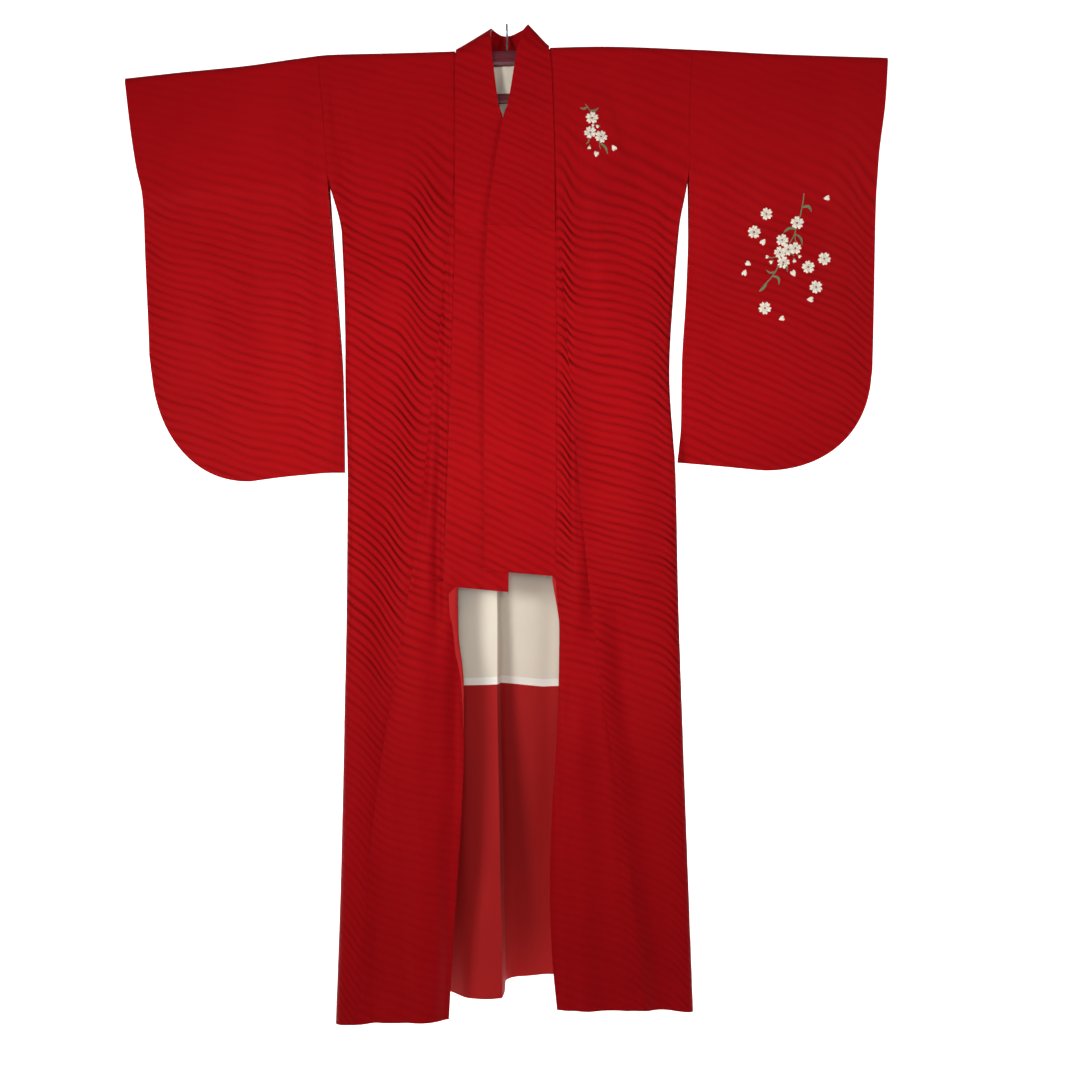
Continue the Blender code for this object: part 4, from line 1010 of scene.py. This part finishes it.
IVORY_FLOSS = satin_stitch("ivory_silk_floss", "#FBF6E8", "#E4DAC4")
OLIVE_FLOSS = satin_stitch("olive_silk_floss", "#728458", "#4A5C3A")
BROWN_FLOSS = satin_stitch("brown_silk_floss", "#8C7A58", "#66563A")
ROSE_FLOSS = satin_stitch("rose_brown_silk_floss", "#B06A58", "#84463A")
FLOSSES = [IVORY_FLOSS, OLIVE_FLOSS, BROWN_FLOSS, ROSE_FLOSS]
IVORY, OLIVE, BROWN, ROSE = range(4)


class Stitching:
    """The stitched patches of one spray, gathered into one mesh that follows a cloth's surface."""

    def __init__(self, surface):
        self.surface = surface
        self.points = []
        self.places = []
        self.faces = []
        self.flosses = []

    def patch(self, a, b, height, u, v, floss):
        """A closed patch from grids of x, z and height in millimetres. Its rim sinks into the cloth."""
        x = a * MM
        z = b * MM
        step = 0.5 * MM
        by_x = self.surface(x + step, z) - self.surface(x - step, z)
        by_z = self.surface(x, z + step) - self.surface(x, z - step)
        normal = np.cross(by_x, by_z)
        normal /= np.linalg.norm(normal, axis=-1, keepdims=True)
        middle = self.surface(x, z)
        top = middle + normal * (CLOTH / 2 + height * MM)[..., None]
        foot = middle + normal * (CLOTH / 2 - SUNK)
        rows, columns = a.shape
        start = len(self.points)
        self.points += top.reshape(-1, 3).tolist() + foot.reshape(-1, 3).tolist()
        uv = np.stack([u, v], axis=-1).reshape(-1, 2) * MM
        self.places += uv.tolist() + uv.tolist()
        count = rows * columns
        turn = (a[0, 1] - a[0, 0]) * (b[1, 0] - b[0, 0]) - (b[0, 1] - b[0, 0]) * (a[1, 0] - a[0, 0]) < 0
        new = []
        for i in range(rows - 1):
            for j in range(columns - 1):
                k = start + i * columns + j
                new.append((k, k + 1, k + columns + 1, k + columns))
                new.append((k + count, k + count + columns, k + count + columns + 1, k + count + 1))
        rim = [j for j in range(columns)] + [i * columns + columns - 1 for i in range(1, rows)]
        rim += [(rows - 1) * columns + j for j in range(columns - 2, -1, -1)]
        rim += [i * columns for i in range(rows - 2, 0, -1)]
        for k, first in enumerate(rim):
            second = rim[(k + 1) % len(rim)]
            new.append((start + second, start + first, start + count + first, start + count + second))
        self.faces += [tuple(reversed(face)) if turn else face for face in new]
        self.flosses += [floss] * len(new)

    def petal(self, x, z, inner, outer, turn, spread, floss=IVORY):
        """A petal with a notched tip, fanned out from a centre."""
        s, t = np.meshgrid(np.linspace(0, 1, 7), np.linspace(-1, 1, 11), indexing="ij")
        tip = 1 - NOTCH_DEPTH * np.exp(-(t / NOTCH_WIDTH) ** 2) - 0.24 * np.abs(t) ** 3
        reach = inner + (outer * tip - inner) * s
        angle = math.radians(turn) + np.radians(spread) * t * (1.15 - 0.25 * s ** 2)
        crown = np.sqrt(np.clip(1 - t ** 2, 0, 1)) * (0.3 + 0.7 * np.sin(math.pi * s))
        a = x + reach * np.cos(angle)
        b = z + reach * np.sin(angle)
        self.patch(a, b, (PADDING / MM) * crown + 0.12, t * outer * 0.55, reach, floss)

    def knot(self, x, z, radius, floss, height=0.6):
        """A round knot or eye."""
        s, t = np.meshgrid(np.linspace(0.02, 1, 4), np.linspace(0, 2 * math.pi, 10), indexing="ij")
        dome = height * np.sqrt(1 - 0.92 * s ** 2) + RIM_HEIGHT
        a = x + radius * s * np.cos(t)
        b = z + radius * s * np.sin(t)
        self.patch(a, b, dome, radius * t, radius * s, floss)

    def strip(self, path, widths, floss, height=0.5):
        """A line of stitches along a path, of a width for each of its points."""
        path = np.array(path, float)
        ahead = np.gradient(path, axis=0)
        ahead /= np.linalg.norm(ahead, axis=1, keepdims=True)
        side = np.column_stack([-ahead[:, 1], ahead[:, 0]])
        t = np.linspace(-1, 1, STRIP_COLUMNS)
        a = path[:, :1] + side[:, :1] * widths[:, None] / 2 * t
        b = path[:, 1:] + side[:, 1:] * widths[:, None] / 2 * t
        dome = height * np.sqrt(1 - t ** 2)[None, :] * np.ones((len(path), 1)) + RIM_HEIGHT
        along = np.repeat(lengths_along(path)[:, None], STRIP_COLUMNS, axis=1)
        self.patch(a, b, dome, along, widths[:, None] / 2 * t, floss)

    def blossom(self, blossom):
        for k in range(5):
            turn = blossom.turn + 72 * k
            self.petal(blossom.x, blossom.z, 0.16 * blossom.radius, blossom.radius, turn, 33)
        for k in range(10):
            angle = math.radians(blossom.turn + 36 * k + 18)
            reach = blossom.radius * (0.40 if k % 2 else 0.5)
            first = blossom.radius * 0.2
            ends = [(blossom.x + r * math.cos(angle), blossom.z + r * math.sin(angle))
                    for r in np.linspace(first, reach, 4)]
            self.strip(ends, np.full(4, 0.028 * blossom.radius), BROWN, height=0.85)
            self.knot(*ends[-1], 0.07 * blossom.radius, BROWN, height=1.0)
        self.knot(blossom.x, blossom.z, 0.12 * blossom.radius, ROSE, height=1.0)

    def leaf(self, leaf):
        start = np.array([leaf.x, leaf.z], float)
        end = np.array([leaf.tip_x, leaf.tip_z], float)
        run = end - start
        side = np.array([-run[1], run[0]])
        t = np.linspace(0, 1, 13)[:, None]
        path = start + run * t + side * leaf.bend * np.sin(math.pi * t)
        widths = leaf.width * np.sin(math.pi * np.clip(t[:, 0] * 0.9 + 0.06, 0, 1)) ** 0.8
        self.strip(path, widths, OLIVE, height=0.6)

    def finished(self, name):
        mesh = mapped_mesh(name, self.points, self.faces, "stitches", self.places, FLOSSES)
        mesh.polygons.foreach_set("material_index", self.flosses)
        mesh.update()
        thing = placed(name, mesh)
        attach(thing, "root")
        return thing


for name, spray, surface in (("chest_embroidery", CHEST_SPRAY, chest_surface),
                             ("sleeve_embroidery", SLEEVE_SPRAY, sleeve_surface)):
    stitching = Stitching(surface)
    for stem in spray["stems"]:
        route = through(stem.points, 4 * len(stem.points))
        stitching.strip(route, np.full(len(route), stem.width), OLIVE, height=0.4)
    for leaf in spray["leaves"]:
        stitching.leaf(leaf)
    for bud in spray["buds"]:
        stitching.petal(bud.x, bud.z, 0.4, bud.size * 1.7, bud.turn, 42)
        stitching.knot(bud.x, bud.z, bud.size * 0.42, OLIVE)
    for petal in spray["petals"]:
        stitching.petal(petal.x, petal.z, 0.5, petal.size * 1.75, petal.turn, 34)
    for blossom in spray["blossoms"]:
        stitching.blossom(blossom)
    stitching.finished(name)

# Cuts
# The columns of a cloth's cut: its piece, the width and length that it was cut to, its flat area, what it
# rests on, and its embroidery. Everything hangs from the upper bar, and the two embroideries are worked on
# the left front and the left sleeve.
Cut = namedtuple("Cut", "piece width length area rests_on embroidery")

# Hanger
# A kimono hanger of glossy maroon plastic, moulded in one piece, with a long upper bar through the
# sleeves and a short lower bar under it, and a bright steel wire hook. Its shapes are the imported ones.


def moulded_plastic(name, base, edge):
    """Glossy moulded plastic: an even colour with faint flow marks and fine handling scratches."""
    material, tree, shader = new_material(name)
    place = add(tree, "TexCoord").outputs["Object"]
    flow = add(tree, "TexNoise", Vector=place, Scale=22.0, Detail=3.0)
    colour = add(tree, "Mix", COLOURS, n0=flow, n6=linear(base), n7=linear(edge))
    stretched = add(tree, "Mapping", Vector=place, Scale=(40.0, 600.0, 600.0))
    scratches = add(tree, "TexNoise", Vector=stretched, Scale=1.0, Detail=2.0)
    rough = add(tree, "MapRange", Value=scratches, n3=0.22, n4=0.36)
    bump = add(tree, "Bump", Height=scratches, Strength=0.12, Distance=0.1 * MM)
    feed(tree, shader, Base_Color=colour.outputs[2], Roughness=rough, Normal=bump, IOR=1.49)
    return material


def drawn_steel(name, base):
    """Drawn steel wire: bright, with fine marks along the wire."""
    material, tree, shader = new_material(name)
    place = add(tree, "TexCoord").outputs["Object"]
    marks = add(tree, "TexNoise", Vector=place, Scale=900.0, Detail=2.0)
    rough = add(tree, "MapRange", Value=marks, n3=0.18, n4=0.34)
    feed(tree, shader, Base_Color=linear(base), Metallic=1.0, Roughness=rough)
    return material


MAROON_PLASTIC = moulded_plastic("maroon_moulded_plastic", "#6A2630", "#571C26")
STEEL_WIRE = drawn_steel("bright_steel_wire", "#C4C4C6")
for node in ("hanger_upper_bar", "hanger_lower_bar", "hanger_link_right", "hanger_link_left"):
    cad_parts[node].data.materials.clear()
    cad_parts[node].data.materials.append(MAROON_PLASTIC)
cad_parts["hanger_hook"].data.materials.clear()
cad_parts["hanger_hook"].data.materials.append(STEEL_WIRE)

# Studio
# A white floor that glows from behind the garment on, a bright white backdrop far behind, a dim white
# surround, and soft lamps at waist height: the key from the viewer's left, weaker ones from the right
# and the front, and one from behind. Their light falls off towards the shoulders and the hems.
FLOOR_LEVEL = -1.78
BACKDROP_DEPTH = 6
PAPER_SIZE = 16
DIM_GLOW = 0.05
DIM_TO = -0.4
BRIGHT_FROM = 0.2
WORLD_LIGHT = 0.14
WHITE = (1, 1, 1, 1)
for name, place, turn in (("studio_floor", (0, 0, FLOOR_LEVEL), 0.0),
                          ("studio_backdrop", (0, BACKDROP_DEPTH, 0), math.pi / 2)):
    bpy.ops.mesh.primitive_plane_add(size=PAPER_SIZE, location=place, rotation=(turn, 0, 0))
    screen = bpy.context.active_object
    screen.name = name
    paper, tree, shader = new_material("white_" + name)
    apart = add(tree, "SeparateXYZ", Vector=add(tree, "NewGeometry").outputs["Position"])
    glow = add(tree, "MapRange", Value=apart.outputs["Y"], n1=DIM_TO, n2=BRIGHT_FROM,
               n3=DIM_GLOW, n4=1.0)
    feed(tree, shader, Base_Color=linear("#F4F4F4"), Roughness=0.9, Emission_Color=WHITE,
         Emission_Strength=glow)
    screen.data.materials.append(paper)

world = bpy.data.worlds.new("white_surround")
bpy.context.scene.world = world
world.use_nodes = True
feed(world.node_tree, world.node_tree.nodes["Background"], Color=WHITE, Strength=WORLD_LIGHT)
bpy.context.scene.view_settings.view_transform = "Standard"

Lamp = namedtuple("Lamp", "name place target size spread watts")
for lamp in (
        Lamp("key_light", (-1.11, -1.67, -0.72), (0, 0, -0.55), 0.5, 90, 6.3),
        Lamp("fill_light", (1.37, -1.20, -0.16), (0, 0, -0.55), 0.5, 90, 2.6),
        Lamp("front_light", (0.05, -2.5, -0.75), (0, 0, -0.78), 0.4, 56, 1.7),
        Lamp("back_light", (0.5, 2.4, 0.4), (0, 0, -0.8), 2.0, 180, 18)):
    data = bpy.data.lights.new(lamp.name, "AREA")
    data.size = lamp.size
    data.spread = math.radians(lamp.spread)
    data.energy = lamp.watts
    aim = Vector(lamp.target) - Vector(lamp.place)
    light = placed(lamp.name, data)
    light.location = lamp.place
    light.rotation_euler = aim.to_track_quat("-Z", "Y").to_euler()
